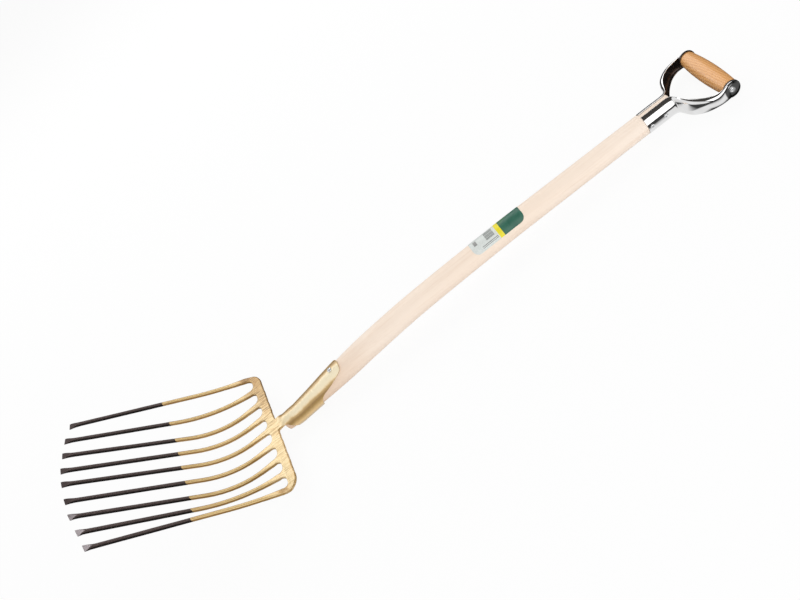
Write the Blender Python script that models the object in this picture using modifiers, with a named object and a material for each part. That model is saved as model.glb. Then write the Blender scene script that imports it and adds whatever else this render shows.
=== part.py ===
"""Rubble fork: nine forged tines on a cross plate, open socket, bent ash shaft, metal yoke, turned grip.

Lengths are metres. The tool is drawn along +X: tips at -X, grip at +X, hollow side of the head up,
tine 1 at +Y. The closed ends of the gaps between the tines lie at X = 0 and the straight upper part
of the shaft on Z = 0. The parent empty lays the finished tool on its back on the plane Z = 0.
"""
import math

import bmesh
import bpy
import numpy as np
from mathutils import Matrix, Vector

# general fits
seat_gap = 0.0003
rivet_clearance = 0.0003

# cross plate
tine_count = 9
tine_pitch = 0.0354
plate_thickness = 0.0055
plate_top_z = -0.0275
plate_back_x = 0.0165
plate_corner_radius = 0.026
plate_edge_radius = 0.0011
gap_corner_radius = 0.0100
stub_length = 0.0120
neck_half_width = 0.0125
neck_stub_length = 0.0050
neck_stub_x = plate_back_x + neck_stub_length
neck_fillet_radius = 0.0049

# tines, counted outwards from the middle one: each value is (rise at the root in degrees,
# straight root length, bend radius, rise at the tip in degrees, X of the tip)
root_width = 0.0110
tine_width = 0.0075
tine_depth = 0.0067
tip_width = 0.0119
tip_length = 0.0200
tine_forms = (
    (0.0, 0.022, 0.140, 41.4, -0.2930),
    (0.0, 0.021, 0.144, 40.5, -0.2945),
    (0.0, 0.021, 0.147, 40.8, -0.2905),
    (8.0, 0.003, 0.255, 38.1, -0.2860),
    (24.0, 0.004, 0.600, 32.3, -0.2765),
)

# shaft: centre line and radius, both by X
shaft_line_x = (0.0300, 0.2190, 0.2650, 0.3100, 0.3530, 0.3940, 0.4360, 0.4770, 0.5300, 0.8500)
shaft_line_z = (-0.0429, -0.0155, -0.0107, -0.0068, -0.0046, -0.0031, -0.0019, -0.0010, 0.0, 0.0)
shaft_radius_x = (0.0300, 0.0330, 0.0400, 0.0520, 0.0600, 0.0944, 0.1300, 0.1600, 0.1850, 0.2200, 0.5000, 0.7955)
shaft_radius_r = (0.0112, 0.0121, 0.0127, 0.0135, 0.0146, 0.0160, 0.0183, 0.0199, 0.0207, 0.0210, 0.0195, 0.0181)
shaft_sides = 28

# socket: where the rolled sheet starts and ends, by the angle from its front line. Between the
# cross plate and neck_join_x its outer radius and the rise of its front line are given by reach.
socket_sheet = 0.0028
sheet_deg = (0.0, 8.0, 16.0, 23.0, 30.0, 38.0, 44.0, 50.0, 56.5, 63.0, 67.7, 72.0, 78.0, 86.0, 95.0,
             110.0, 125.0, 139.0, 150.0, 160.0)
sheet_top_x = (0.1706, 0.1704, 0.1699, 0.1692, 0.1683, 0.1665, 0.1636, 0.1567, 0.1472, 0.1377, 0.1268, 0.1182,
               0.1135, 0.1098, 0.1070, 0.1046, 0.1029, 0.1016, 0.1006, 0.1000)
neck_opening_deg = (23.0, 38.0, 50.0, 60.0, 80.0, 95.0, 110.0, 125.0, 139.0, 150.0, 160.0)
neck_opening = (0.0, 0.0036, 0.0064, 0.0084, 0.0130, 0.0187, 0.0220, 0.0245, 0.0265, 0.0302, 0.0382)
neck_reach = (0.0, 0.0035, 0.0121, 0.0235, 0.0308)
neck_outer_radius = (0.0320, 0.0240, 0.0158, 0.0172, 0.0176)
neck_front_rise = (0.0, 0.0013, 0.0045, 0.0057, 0.0062)
neck_join_x = 0.0600
socket_rows = 20

# socket screw
screw_x = 0.1520
screw_side_deg = 6.0
screw_head_radius = 0.0042
screw_head_height = 0.0024
screw_shank_radius = 0.0021
screw_length = 0.0270

# yoke socket, which starts at yoke_start_x and carries the tenon, both rivets and the arms
yoke_sheet = 0.0013
yoke_start_x = 0.7955
yoke_rib_angle = 76.0
yoke_radius = 0.0187
yoke_socket_length = 0.0365
tenon_length = 0.0545
tenon_radius = yoke_radius - yoke_sheet - seat_gap
tenon_chamfer = 0.0015

# yoke rivets
rivet_reach = (0.0075, 0.0335)
rivet_shank_radius = 0.0020
rivet_head_radius = 0.0034
rivet_head_height = 0.0016

# grip and its rod
grip_reach = 0.1285
grip_x = yoke_start_x + grip_reach
grip_half_length = 0.0620
grip_end_radius = 0.0149
grip_middle_radius = 0.0166
grip_chamfer = 0.0012
rod_radius = 0.0028
rod_clearance = 0.0003
rod_head_radius = 0.0046
rod_head_height = 0.0022

# ear cups over the ends of the grip
ear_sheet = 0.0014
ear_running_gap = 0.0015
ear_play = 0.0007
ear_radius = grip_end_radius + ear_play + ear_sheet
ear_inner_y = grip_half_length + ear_running_gap
ear_outer_y = ear_inner_y + ear_sheet
ear_rim_depth = 0.0038
ear_rim_fillet = 0.0020
ear_trim = 0.0002

# yoke arms: every rib joins the two rims of the sheet over its crest. Shares of the way from the
# socket to the axis of the grip (rim X, crest X), from the socket to the outside of the ear (rim Y,
# crest Y), and from the width of the socket to that of the arm's end. A square section is a channel
# with flat back and rounded corners, one that isn't square is round like the socket.
arm_end_half_width = 0.0100
arm_ribs = (  # rim X, rim Y, crest X, crest Y, width, squareness of the section
    (0.0, 0.0, 0.0, 0.0, 0.0, 0.0),
    (0.1350, 0.0050, 0.1250, 0.0022, 0.0, 0.0),
    (0.2100, 0.0580, 0.2010, 0.0210, 0.018, 0.2),
    (0.2620, 0.1987, 0.2280, 0.1320, 0.043, 0.5),
    (0.3100, 0.3725, 0.2560, 0.3300, 0.092, 0.8),
    (0.3783, 0.5629, 0.3130, 0.5700, 0.227, 1.0),
    (0.4804, 0.7450, 0.4196, 0.8050, 0.448, 1.0),
    (0.6043, 0.8891, 0.5560, 0.9957, 0.706, 1.0),
    (0.7391, 0.9652, 0.7207, 1.0996, 0.877, 0.8),
    (0.8370, 0.9851, 0.8370, 1.0996, 0.939, 0.6),
    (0.9239, 0.9719, 0.9239, 1.0087, 1.0, 0.4),
)
ribs_between = 1
yoke_across = 12

# label
label_start_x = 0.4570
label_end_x = 0.5570
label_half_deg = 64.0
label_corner = 0.0080
label_thickness = 0.0002


def clear_scene():
    for item in list(bpy.data.objects):
        bpy.data.objects.remove(item, do_unlink=True)


def finish_material(name, colour, metallic, roughness):
    mat = bpy.data.materials.new(name)
    mat.use_nodes = True
    shader = mat.node_tree.nodes["Principled BSDF"]
    shader.inputs["Base Color"].default_value = (*colour, 1.0)
    shader.inputs["Metallic"].default_value = metallic
    shader.inputs["Roughness"].default_value = roughness
    return mat


def add_object(name, mesh, mat, parent, collection, smooth_deg=35.0):
    part = bpy.data.objects.new(name, mesh)
    collection.objects.link(part)
    part.data.materials.append(mat)
    part.parent = parent
    bpy.ops.object.select_all(action="DESELECT")
    part.select_set(True)
    bpy.context.view_layer.objects.active = part
    bpy.ops.object.shade_smooth()
    mesh.set_sharp_from_angle(angle=math.radians(smooth_deg))
    return part


def mesh_from(bm, name):
    bmesh.ops.recalc_face_normals(bm, faces=bm.faces)
    mesh = bpy.data.meshes.new(name)
    bm.to_mesh(mesh)
    bm.free()
    return mesh


def apply_modifiers(part):
    graph = bpy.context.evaluated_depsgraph_get()
    graph.update()
    solid = bpy.data.meshes.new_from_object(part.evaluated_get(graph))
    part.modifiers.clear()
    part.data = solid
    return part


def cut(part, cutters):
    for cutter in cutters:
        mod = part.modifiers.new("cut", "BOOLEAN")
        mod.operation = "DIFFERENCE"
        mod.solver = "EXACT"
        mod.object = cutter
    bpy.context.view_layer.update()
    return apply_modifiers(part)


def round_cutter(name, radius, start, end, parent, cutters):
    """Plain cylinder between two points, used to open a hole."""
    axis = end - start
    bm = bmesh.new()
    bmesh.ops.create_cone(bm, cap_ends=True, segments=24, radius1=radius, radius2=radius, depth=axis.length)
    turn = axis.to_track_quat("Z", "Y").to_matrix().to_4x4()
    bmesh.ops.transform(bm, matrix=Matrix.Translation((start + end) / 2) @ turn, verts=bm.verts)
    cutter = bpy.data.objects.new(name, mesh_from(bm, name))
    cutters.objects.link(cutter)
    cutter.parent = parent
    cutter.hide_render = True
    cutter.display_type = "WIRE"
    return cutter


def loft(name, rings):
    """Closed bar through rings that all have the same number of points."""
    bm = bmesh.new()
    rows = [[bm.verts.new(point) for point in ring] for ring in rings]
    count = len(rows[0])
    for low, high in zip(rows[:-1], rows[1:]):
        for k in range(count):
            nxt = (k + 1) % count
            bm.faces.new((low[k], low[nxt], high[nxt], high[k]))
    bm.faces.new(rows[0])
    bm.faces.new(rows[-1])
    return mesh_from(bm, name)


def turned(name, profile, steps, mat, parent, collection):
    """Solid of revolution about its own Z from a closed or axis-to-axis profile of (radius, z)."""
    bm = bmesh.new()
    points = [bm.verts.new((radius, 0.0, z)) for radius, z in profile]
    for low, high in zip(points[:-1], points[1:]):
        bm.edges.new((low, high))
    if profile[0][0] > 0.0:
        bm.edges.new((points[-1], points[0]))
    mesh = bpy.data.meshes.new(name)
    bm.to_mesh(mesh)
    bm.free()
    part = add_object(name, mesh, mat, parent, collection)
    screw = part.modifiers.new("turn", "SCREW")
    screw.steps = steps
    screw.render_steps = steps
    screw.use_merge_vertices = True
    screw.merge_threshold = 0.00001
    screw.use_normal_calculate = True
    bpy.context.view_layer.update()
    apply_modifiers(part)
    bm = bmesh.new()
    bm.from_mesh(part.data)
    bmesh.ops.recalc_face_normals(bm, faces=bm.faces)
    bm.to_mesh(part.data)
    bm.free()
    part.data.set_sharp_from_angle(angle=math.radians(35.0))
    return part


def domed_head(radius, height, base_z, outward, steps=4):
    """Profile points of a low dome on a flat seat, from the rim to the crown."""
    points = []
    for k in range(steps + 1):
        angle = math.radians(90.0 * k / steps)
        reach = radius * math.cos(angle) if k < steps else 0.0
        points.append((reach, base_z + outward * height * (0.25 + 0.75 * math.sin(angle))))
    return [(radius, base_z)] + points


def shaft_centre_z(x):
    """Centre line of the shaft, eased so that the bend has no corners."""
    width = 0.012
    samples = [x - width, x - width / 2, x, x + width / 2, x + width]
    if x - width < shaft_line_x[0]:
        slope = (shaft_line_z[1] - shaft_line_z[0]) / (shaft_line_x[1] - shaft_line_x[0])
        return shaft_line_z[0] + slope * (x - shaft_line_x[0])
    return float(np.mean(np.interp(samples, shaft_line_x, shaft_line_z)))


def shaft_radius(x):
    return float(np.interp(x, shaft_radius_x, shaft_radius_r))


def centre_slope(x):
    step = 0.001
    return (shaft_centre_z(x + step) - shaft_centre_z(x - step)) / (2 * step)


def tine_offsets():
    middle = (tine_count - 1) / 2
    return [(middle - k) * tine_pitch for k in range(tine_count)]


def stub_rise(reach):
    """Rise per length of a root stub, by its distance from the middle in tine pitches."""
    outer = len(tine_forms) - 1
    rises = [math.tan(math.radians(form[0])) for form in tine_forms]
    return float(np.interp(reach, range(outer + 1), rises))


def build_cross_plate(mat, parent, collection):
    """Comb shaped plate: nine root stubs, rounded gap ends, rounded back corners, stub for the neck."""
    half_gap = (tine_pitch - root_width) / 2
    outer_y = (tine_count - 1) / 2 * tine_pitch + root_width / 2
    front_x = -stub_length - 0.004
    arc_steps = 4
    outline = []

    def arc(centre_x, centre_y, radius, start_deg, end_deg, steps=arc_steps):
        for k in range(steps + 1):
            angle = math.radians(start_deg + (end_deg - start_deg) * k / steps)
            outline.append((centre_x + radius * math.cos(angle), centre_y + radius * math.sin(angle)))

    for k in range(tine_count - 1):
        middle = (k - (tine_count - 2) / 2) * tine_pitch
        outline.append((front_x, middle - half_gap))
        arc(-gap_corner_radius, middle - half_gap + gap_corner_radius, gap_corner_radius, -90.0, 0.0)
        arc(-gap_corner_radius, middle + half_gap - gap_corner_radius, gap_corner_radius, 0.0, 90.0)
        outline.append((front_x, middle + half_gap))
    outline.append((front_x, outer_y))
    corner = plate_corner_radius
    arc(plate_back_x - corner, outer_y - corner, corner, 90.0, 0.0)
    fillet = neck_fillet_radius
    arc(plate_back_x + fillet, neck_half_width + fillet, fillet, 180.0, 270.0, 4)
    outline.append((neck_stub_x + 0.003, neck_half_width))
    outline.append((neck_stub_x + 0.003, -neck_half_width))
    arc(plate_back_x + fillet, -neck_half_width - fillet, fillet, 90.0, 180.0, 4)
    arc(plate_back_x - corner, -outer_y + corner, corner, 0.0, -90.0)
    outline.append((front_x, -outer_y))

    curve = bpy.data.curves.new("cross_plate_outline", "CURVE")
    curve.dimensions = "2D"
    curve.fill_mode = "BOTH"
    curve.extrude = plate_thickness / 2 - plate_edge_radius
    curve.bevel_depth = plate_edge_radius
    curve.bevel_resolution = 1
    curve.offset = -plate_edge_radius
    spline = curve.splines.new("POLY")
    spline.points.add(len(outline) - 1)
    for point, (x, y) in zip(spline.points, outline):
        point.co = (x, y, 0.0, 1.0)
    spline.use_cyclic_u = True
    drawn = bpy.data.objects.new("cross_plate_drawn", curve)
    bpy.context.scene.collection.objects.link(drawn)
    bpy.context.view_layer.update()
    graph = bpy.context.evaluated_depsgraph_get()
    mesh = bpy.data.meshes.new_from_object(drawn.evaluated_get(graph))
    bpy.data.objects.remove(drawn, do_unlink=True)

    bm = bmesh.new()
    bm.from_mesh(mesh)
    bmesh.ops.remove_doubles(bm, verts=bm.verts, dist=0.00002)
    bmesh.ops.translate(bm, verts=bm.verts, vec=(0.0, 0.0, plate_top_z - plate_thickness / 2))
    for x, side in ((-stub_length, -1.0), (neck_stub_x, 1.0)):
        everything = bm.verts[:] + bm.edges[:] + bm.faces[:]
        bmesh.ops.bisect_plane(bm, geom=everything, plane_co=(x, 0.0, 0.0), plane_no=(side, 0.0, 0.0),
                               clear_outer=True)
        bmesh.ops.holes_fill(bm, edges=[edge for edge in bm.edges if edge.is_boundary], sides=0)
    for x in (-0.006, 0.0):
        everything = bm.verts[:] + bm.edges[:] + bm.faces[:]
        bmesh.ops.bisect_plane(bm, geom=everything, plane_co=(x, 0.0, 0.0), plane_no=(1.0, 0.0, 0.0))
    bmesh.ops.triangulate(bm, faces=bm.faces)
    for vert in bm.verts:
        if vert.co.x < 0.0:
            vert.co.z -= vert.co.x * stub_rise(min(abs(vert.co.y) / tine_pitch, len(tine_forms) - 1))
    return add_object("cross_plate", mesh_from(bm, "cross_plate"), mat, parent, collection, 50.0)


def tine_line(form):
    """Points (x, z, slope angle) of one tine: straight root, round bend, straight to the tip."""
    root_deg, straight, radius, tip_deg, tip_x = form
    root = math.radians(root_deg)
    end = math.radians(tip_deg)
    x = -stub_length - seat_gap
    z = plate_top_z - plate_thickness / 2 + stub_length * math.tan(root)
    points = [(x, z, root)]
    for _ in range(2):
        x -= straight / 2 * math.cos(root)
        z += straight / 2 * math.sin(root)
        points.append((x, z, root))
    bend_steps = 8
    for k in range(1, bend_steps + 1):
        angle = root + (end - root) * k / bend_steps
        points.append((x - radius * (math.sin(angle) - math.sin(root)),
                       z + radius * (math.cos(root) - math.cos(angle)), angle))
    x, z, _ = points[-1]
    run = (x - tip_x) / math.cos(end)
    stops = [0.25 * run, 0.5 * run, 0.75 * run]
    stops += [run - tip_length * part for part in (1.0, 0.8, 0.6, 0.4, 0.2, 0.06, 0.0)]
    for stop in stops:
        points.append((x - stop * math.cos(end), z + stop * math.sin(end), end))
    return points


def tine_section(along, total):
    """Width, depth and squareness of a tine's section, by the distance from its root."""
    left = total - along
    root_stops = (0.0, 0.012, 0.035, 0.120)
    width = np.interp(along, root_stops, (root_width, 0.0094, tine_width * 1.04, tine_width))
    depth = np.interp(along, root_stops, (plate_thickness, 0.0062, tine_depth * 1.03, tine_depth))
    square = np.interp(along, root_stops, (5.0, 3.2, 2.4, 2.2))
    tip_stops = [tip_length * part for part in (0.0, 0.06, 0.2, 0.4, 0.6, 0.8, 1.0)]
    if left < tip_length:
        flare = np.interp(left, tip_stops, (0.74, 1.0, 0.92, 0.66, 0.38, 0.14, 0.0))
        width = tine_width + float(flare) * (tip_width - tine_width)
        depth = np.interp(left, tip_stops, (0.0012, 0.0016, 0.0021, 0.0028, 0.0040, 0.0056, tine_depth))
        square = np.interp(left, tip_stops, (3.0, 3.0, 3.2, 3.2, 3.0, 2.6, 2.2))
    return float(width), float(depth), float(square)


def build_tine(number, offset, mat, parent, collection):
    sides = 12
    reach = round(abs(offset) / tine_pitch)
    points = tine_line(tine_forms[min(reach, len(tine_forms) - 1)])
    lengths = [0.0]
    for (x0, z0, _), (x1, z1, _) in zip(points[:-1], points[1:]):
        lengths.append(lengths[-1] + math.hypot(x1 - x0, z1 - z0))
    rings = []
    for place, along in zip(points, lengths):
        x, z, angle = place
        width, depth, square = tine_section(along, lengths[-1])
        upright = 0.0 if along == 0.0 else angle
        ring = []
        for k in range(sides):
            turn = 2 * math.pi * (k + 0.5) / sides
            c, s = math.cos(turn), math.sin(turn)
            across = width / 2 * math.copysign(abs(c) ** (2 / square), c)
            up = depth / 2 * math.copysign(abs(s) ** (2 / square), s)
            ring.append((x + up * math.sin(upright), offset + across, z + up * math.cos(upright)))
        rings.append(ring)
    name = f"tine_{number}"
    return add_object(name, loft(name, rings), mat, parent, collection)


def neck_stops():
    """X of the neck's given sections, the last one where the socket starts to follow the shaft."""
    return [neck_stub_x + reach for reach in neck_reach] + [neck_join_x]


def sheet_radius(x):
    on_shaft = shaft_radius(max(x, neck_join_x)) + seat_gap + socket_sheet
    if x >= neck_join_x:
        return on_shaft
    return float(np.interp(x, neck_stops(), list(neck_outer_radius) + [on_shaft]))


def sheet_centre_z(x):
    if x >= neck_join_x:
        return shaft_centre_z(x)
    fronts = [plate_top_z + rise for rise in neck_front_rise]
    fronts.append(shaft_centre_z(neck_join_x) + sheet_radius(neck_join_x))
    return float(np.interp(x, neck_stops(), fronts)) - sheet_radius(x)


def build_neck_socket(mat, parent, collection, cutters):
    """Forged neck that opens into a rolled socket, with its seam at the back and a long front tongue."""
    start_x = neck_stub_x + seat_gap
    columns = len(sheet_deg) - 1
    bm = bmesh.new()
    bmesh.ops.create_grid(bm, x_segments=socket_rows, y_segments=2 * columns, size=1.0)
    for vert in bm.verts:
        column = round(abs(vert.co.y) * columns)
        degrees = sheet_deg[column]
        low_x = start_x + float(np.interp(degrees, neck_opening_deg, neck_opening))
        x = low_x + (sheet_top_x[column] - low_x) * (vert.co.x + 1.0) / 2
        angle = math.copysign(math.radians(degrees), vert.co.y)
        radius = sheet_radius(x)
        lean = min(1.0, (x - start_x) / (neck_join_x - start_x)) * math.atan(centre_slope(x))
        up = radius * math.cos(angle)
        vert.co = (x - up * math.sin(lean), radius * math.sin(angle), sheet_centre_z(x) + up * math.cos(lean))
    part = add_object("neck_socket", mesh_from(bm, "neck_socket"), mat, parent, collection, 50.0)
    up = sum(face.normal.z for face in part.data.polygons if face.center.z > sheet_centre_z(0.1))
    wall = part.modifiers.new("wall", "SOLIDIFY")
    wall.thickness = socket_sheet
    wall.offset = -1.0 if up > 0 else 1.0
    wall.use_even_offset = True
    wall.use_quality_normals = True
    apply_modifiers(part)
    place, outward = screw_place()
    hole = round_cutter("tongue_hole", screw_shank_radius + rivet_clearance, place - outward * 0.008,
                        place + outward * 0.006, parent, cutters)
    return cut(part, [hole])


def screw_place():
    """Point on the tongue's outer face under the screw head, and the direction out of the shaft."""
    side = -math.radians(screw_side_deg)
    slope = math.atan(centre_slope(screw_x))
    outward = Vector((-math.sin(slope), math.sin(side) * math.cos(slope), math.cos(side) * math.cos(slope)))
    centre = Vector((screw_x, 0.0, shaft_centre_z(screw_x)))
    return centre + outward * (shaft_radius(screw_x) + seat_gap + socket_sheet), outward


def build_socket_screw(mat, parent, collection):
    place, outward = screw_place()
    tip = 0.006
    profile = [(0.0, -screw_length), (screw_shank_radius * 0.55, -screw_length + tip * 0.6),
               (screw_shank_radius, -screw_length + tip), (screw_shank_radius, 0.0)]
    profile += domed_head(screw_head_radius, screw_head_height, 0.0, 1.0)
    screw = turned("socket_screw", profile, 18, mat, parent, collection)
    screw.location = place + outward * seat_gap
    screw.rotation_mode = "QUATERNION"
    screw.rotation_quaternion = outward.to_track_quat("Z", "Y")
    return screw


def build_shaft(mat, parent, collection, cutters):
    """Bent round shaft: tapered into the socket below, turned down to a tenon for the yoke above."""
    start_x = shaft_line_x[0]
    shoulder_x = yoke_start_x - seat_gap
    stops = list(np.linspace(start_x, 0.066, 6)) + list(np.linspace(0.080, 0.540, 23))
    stops += list(np.linspace(0.590, shoulder_x - 0.0008, 5))
    sizes = [(x, shaft_radius(x)) for x in stops]
    sizes.insert(0, (start_x - 0.0012, shaft_radius(start_x) - 0.0015))
    sizes += [(shoulder_x, shaft_radius(shoulder_x) - 0.0006), (shoulder_x, tenon_radius)]
    tenon_end_x = yoke_start_x + tenon_length
    sizes += [(tenon_end_x - tenon_chamfer, tenon_radius), (tenon_end_x, tenon_radius - tenon_chamfer)]
    rings = []
    for x, radius in sizes:
        slope = math.atan(centre_slope(max(x, start_x)))
        centre_z = shaft_centre_z(x)
        ring = []
        for k in range(shaft_sides):
            turn = 2 * math.pi * k / shaft_sides
            up = radius * math.cos(turn)
            ring.append((x - up * math.sin(slope), radius * math.sin(turn), centre_z + up * math.cos(slope)))
        rings.append(ring)
    part = add_object("shaft", loft("shaft", rings), mat, parent, collection)
    place, outward = screw_place()
    depth = screw_length + rivet_clearance
    bores = [round_cutter("screw_bore", screw_shank_radius + rivet_clearance, place - outward * depth,
                          place + outward * 0.004, parent, cutters)]
    for k, reach in enumerate(rivet_reach):
        across = Vector((0.0, 1.5 * tenon_radius, 0.0))
        middle = Vector((yoke_start_x + reach, 0.0, 0.0))
        bores.append(round_cutter(f"tenon_bore_{k + 1}", rivet_shank_radius + rivet_clearance,
                                  middle - across, middle + across, parent, cutters))
    return cut(part, bores)


def yoke_ribs():
    """Ribs as (rim X, rim Y, crest X, crest Y, half width, squareness): two for the socket, then the arm."""
    limit = math.radians(yoke_rib_angle)
    rim_y = yoke_radius * math.cos(limit)
    half = yoke_radius * math.sin(limit)
    arm_start_x = yoke_start_x + yoke_socket_length
    ribs = [(x, rim_y, x, yoke_radius, half, 0.0) for x in (yoke_start_x, (yoke_start_x + arm_start_x) / 2)]
    for rim_along, rim_out, crest_along, crest_out, narrowed, square in arm_ribs:
        ribs.append((arm_start_x + rim_along * (grip_x - arm_start_x),
                     rim_y + rim_out * (ear_outer_y - rim_y),
                     arm_start_x + crest_along * (grip_x - arm_start_x),
                     yoke_radius + crest_out * (ear_outer_y - yoke_radius),
                     half + narrowed * (arm_end_half_width - half), square))
    return ribs


def rib_rows():
    """Ribs of the yoke with more of them eased in between, as rows of six numbers."""
    rows = [np.array(rib) for rib in yoke_ribs()]
    eased = []
    for k in range(len(rows) - 1):
        before = rows[max(k - 1, 0)]
        low, high = rows[k], rows[k + 1]
        after = rows[min(k + 2, len(rows) - 1)]
        for step in range(ribs_between + 1):
            t = step / (ribs_between + 1)
            eased.append(0.5 * (2 * low + (high - before) * t
                                + (2 * before - 5 * low + 4 * high - after) * t ** 2
                                + (3 * low - before - 3 * high + after) * t ** 3))
    eased.append(rows[-1])
    return eased


def build_yoke_half(name, side, mat, parent, collection, cutters):
    """Pressed half: half socket, channel shaped arm and a dished ear over the end of the grip."""
    rows = rib_rows()
    limit = math.radians(yoke_rib_angle)
    last = len(rows) - 1
    bm = bmesh.new()
    bmesh.ops.create_grid(bm, x_segments=last, y_segments=yoke_across, size=1.0)
    for vert in bm.verts:
        rim_x, rim_y, crest_x, crest_y, half, square = rows[round((vert.co.x + 1.0) / 2 * last)]
        angle = limit * vert.co.y
        rise = (math.cos(angle) - math.cos(limit)) / (1.0 - math.cos(limit))
        rise += square * (1.0 - (math.sin(angle) / math.sin(limit)) ** 4 - rise)
        vert.co = (rim_x + (crest_x - rim_x) * rise, side * (rim_y + (crest_y - rim_y) * rise),
                   half * math.sin(angle) / math.sin(limit))
    part = add_object(name, mesh_from(bm, name), mat, parent, collection, 40.0)
    out = sum(face.normal.y * side for face in part.data.polygons)
    wall = part.modifiers.new("wall", "SOLIDIFY")
    wall.thickness = yoke_sheet
    wall.offset = -1.0 if out > 0 else 1.0
    wall.use_even_offset = True
    apply_modifiers(part)

    rim_y = ear_outer_y - ear_rim_depth
    fillet = ear_rim_fillet
    profile = [(0.0, ear_outer_y), (ear_radius - fillet, ear_outer_y)]
    for k in range(1, 4):
        angle = math.radians(90.0 * k / 3)
        profile.append((ear_radius - fillet + fillet * math.sin(angle),
                        ear_outer_y - fillet + fillet * math.cos(angle)))
    profile += [(ear_radius, rim_y), (ear_radius - ear_sheet, rim_y), (ear_radius - ear_sheet, ear_inner_y),
                (0.0, ear_inner_y)]
    cup = turned(name + "_ear", profile, 28, mat, parent, cutters)
    for vert in cup.data.vertices:
        x, y, z = vert.co
        vert.co = (grip_x + x, side * z, y)
    bm = bmesh.new()
    bm.from_mesh(cup.data)
    bmesh.ops.recalc_face_normals(bm, faces=bm.faces)
    bm.to_mesh(cup.data)
    bm.free()
    cup.hide_render = True
    cup.display_type = "WIRE"
    join = part.modifiers.new("ear", "BOOLEAN")
    join.operation = "UNION"
    join.solver = "EXACT"
    join.object = cup
    bpy.context.view_layer.update()
    apply_modifiers(part)

    holes = [round_cutter(name + "_rod_hole", rod_radius + rivet_clearance,
                          Vector((grip_x, side * rim_y, 0.0)),
                          Vector((grip_x, side * (ear_outer_y + ear_rim_depth), 0.0)), parent, cutters)]
    for k, reach in enumerate(rivet_reach):
        x = yoke_start_x + reach
        holes.append(round_cutter(f"{name}_rivet_hole_{k + 1}", rivet_shank_radius + rivet_clearance,
                                  Vector((x, side * 0.7 * yoke_radius, 0.0)),
                                  Vector((x, side * 1.3 * yoke_radius, 0.0)), parent, cutters))
    inside = round_cutter(name + "_grip_room", ear_radius - ear_sheet + ear_trim,
                          Vector((grip_x, side * (rim_y - ear_radius), 0.0)),
                          Vector((grip_x, side * (ear_inner_y + ear_trim / 2), 0.0)), parent, cutters)
    return cut(part, holes + [inside])


def build_rivet(name, x, mat, parent, collection):
    """Through rivet with a domed head on each half of the yoke's socket."""
    seat = yoke_radius + seat_gap
    profile = domed_head(rivet_head_radius, rivet_head_height, -seat, -1.0)[::-1]
    profile += [(rivet_shank_radius, -seat), (rivet_shank_radius, seat)]
    profile += domed_head(rivet_head_radius, rivet_head_height, seat, 1.0)
    rivet = turned(name, profile, 16, mat, parent, collection)
    rivet.location = (x, 0.0, 0.0)
    rivet.rotation_euler = (math.radians(90.0), 0.0, 0.0)
    return rivet


def build_grip_rod(mat, parent, collection):
    seat = ear_outer_y + seat_gap
    profile = domed_head(rod_head_radius, rod_head_height, -seat, -1.0)[::-1]
    profile += [(rod_radius, -seat), (rod_radius, seat)]
    profile += domed_head(rod_head_radius, rod_head_height, seat, 1.0)
    rod = turned("grip_rod", profile, 20, mat, parent, collection)
    rod.location = (grip_x, 0.0, 0.0)
    rod.rotation_euler = (math.radians(90.0), 0.0, 0.0)
    return rod


def build_grip(mat, parent, collection):
    """Turned barrel shaped grip with a bore for the rod."""
    bore = rod_radius + rod_clearance
    half = grip_half_length
    profile = [(bore, half), (grip_end_radius - grip_chamfer, half)]
    steps = 10
    for k in range(steps + 1):
        place = (half - grip_chamfer) * (1 - 2 * k / steps)
        belly = 1 - (place / half) ** 2
        profile.append((grip_end_radius + (grip_middle_radius - grip_end_radius) * belly, place))
    profile += [(grip_end_radius - grip_chamfer, -half), (bore, -half)]
    grip = turned("grip", profile, 28, mat, parent, collection)
    grip.location = (grip_x, 0.0, 0.0)
    grip.rotation_euler = (math.radians(90.0), 0.0, 0.0)
    return grip


def build_label(mat, parent, collection):
    """Thin adhesive label that wraps over the front of the shaft."""
    bm = bmesh.new()
    bmesh.ops.create_grid(bm, x_segments=8, y_segments=16, size=1.0)
    half_length = (label_end_x - label_start_x) / 2
    middle_x = (label_end_x + label_start_x) / 2
    for vert in bm.verts:
        half_width = shaft_radius(middle_x) * math.radians(label_half_deg)
        into_corner = max(0.0, abs(vert.co.y) * half_width - (half_width - label_corner))
        drop = label_corner - math.sqrt(max(label_corner ** 2 - into_corner ** 2, 0.0))
        x = middle_x + vert.co.x * (half_length - drop)
        radius = shaft_radius(x) + seat_gap
        angle = vert.co.y * math.radians(label_half_deg)
        slope = math.atan(centre_slope(x))
        up = radius * math.cos(angle)
        vert.co = (x - up * math.sin(slope), radius * math.sin(angle), shaft_centre_z(x) + up * math.cos(slope))
    label = add_object("label", mesh_from(bm, "label"), mat, parent, collection, 60.0)
    up = sum(face.normal.z for face in label.data.polygons)
    paper = label.modifiers.new("paper", "SOLIDIFY")
    paper.thickness = label_thickness
    paper.offset = 1.0 if up > 0 else -1.0
    return apply_modifiers(label)


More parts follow.
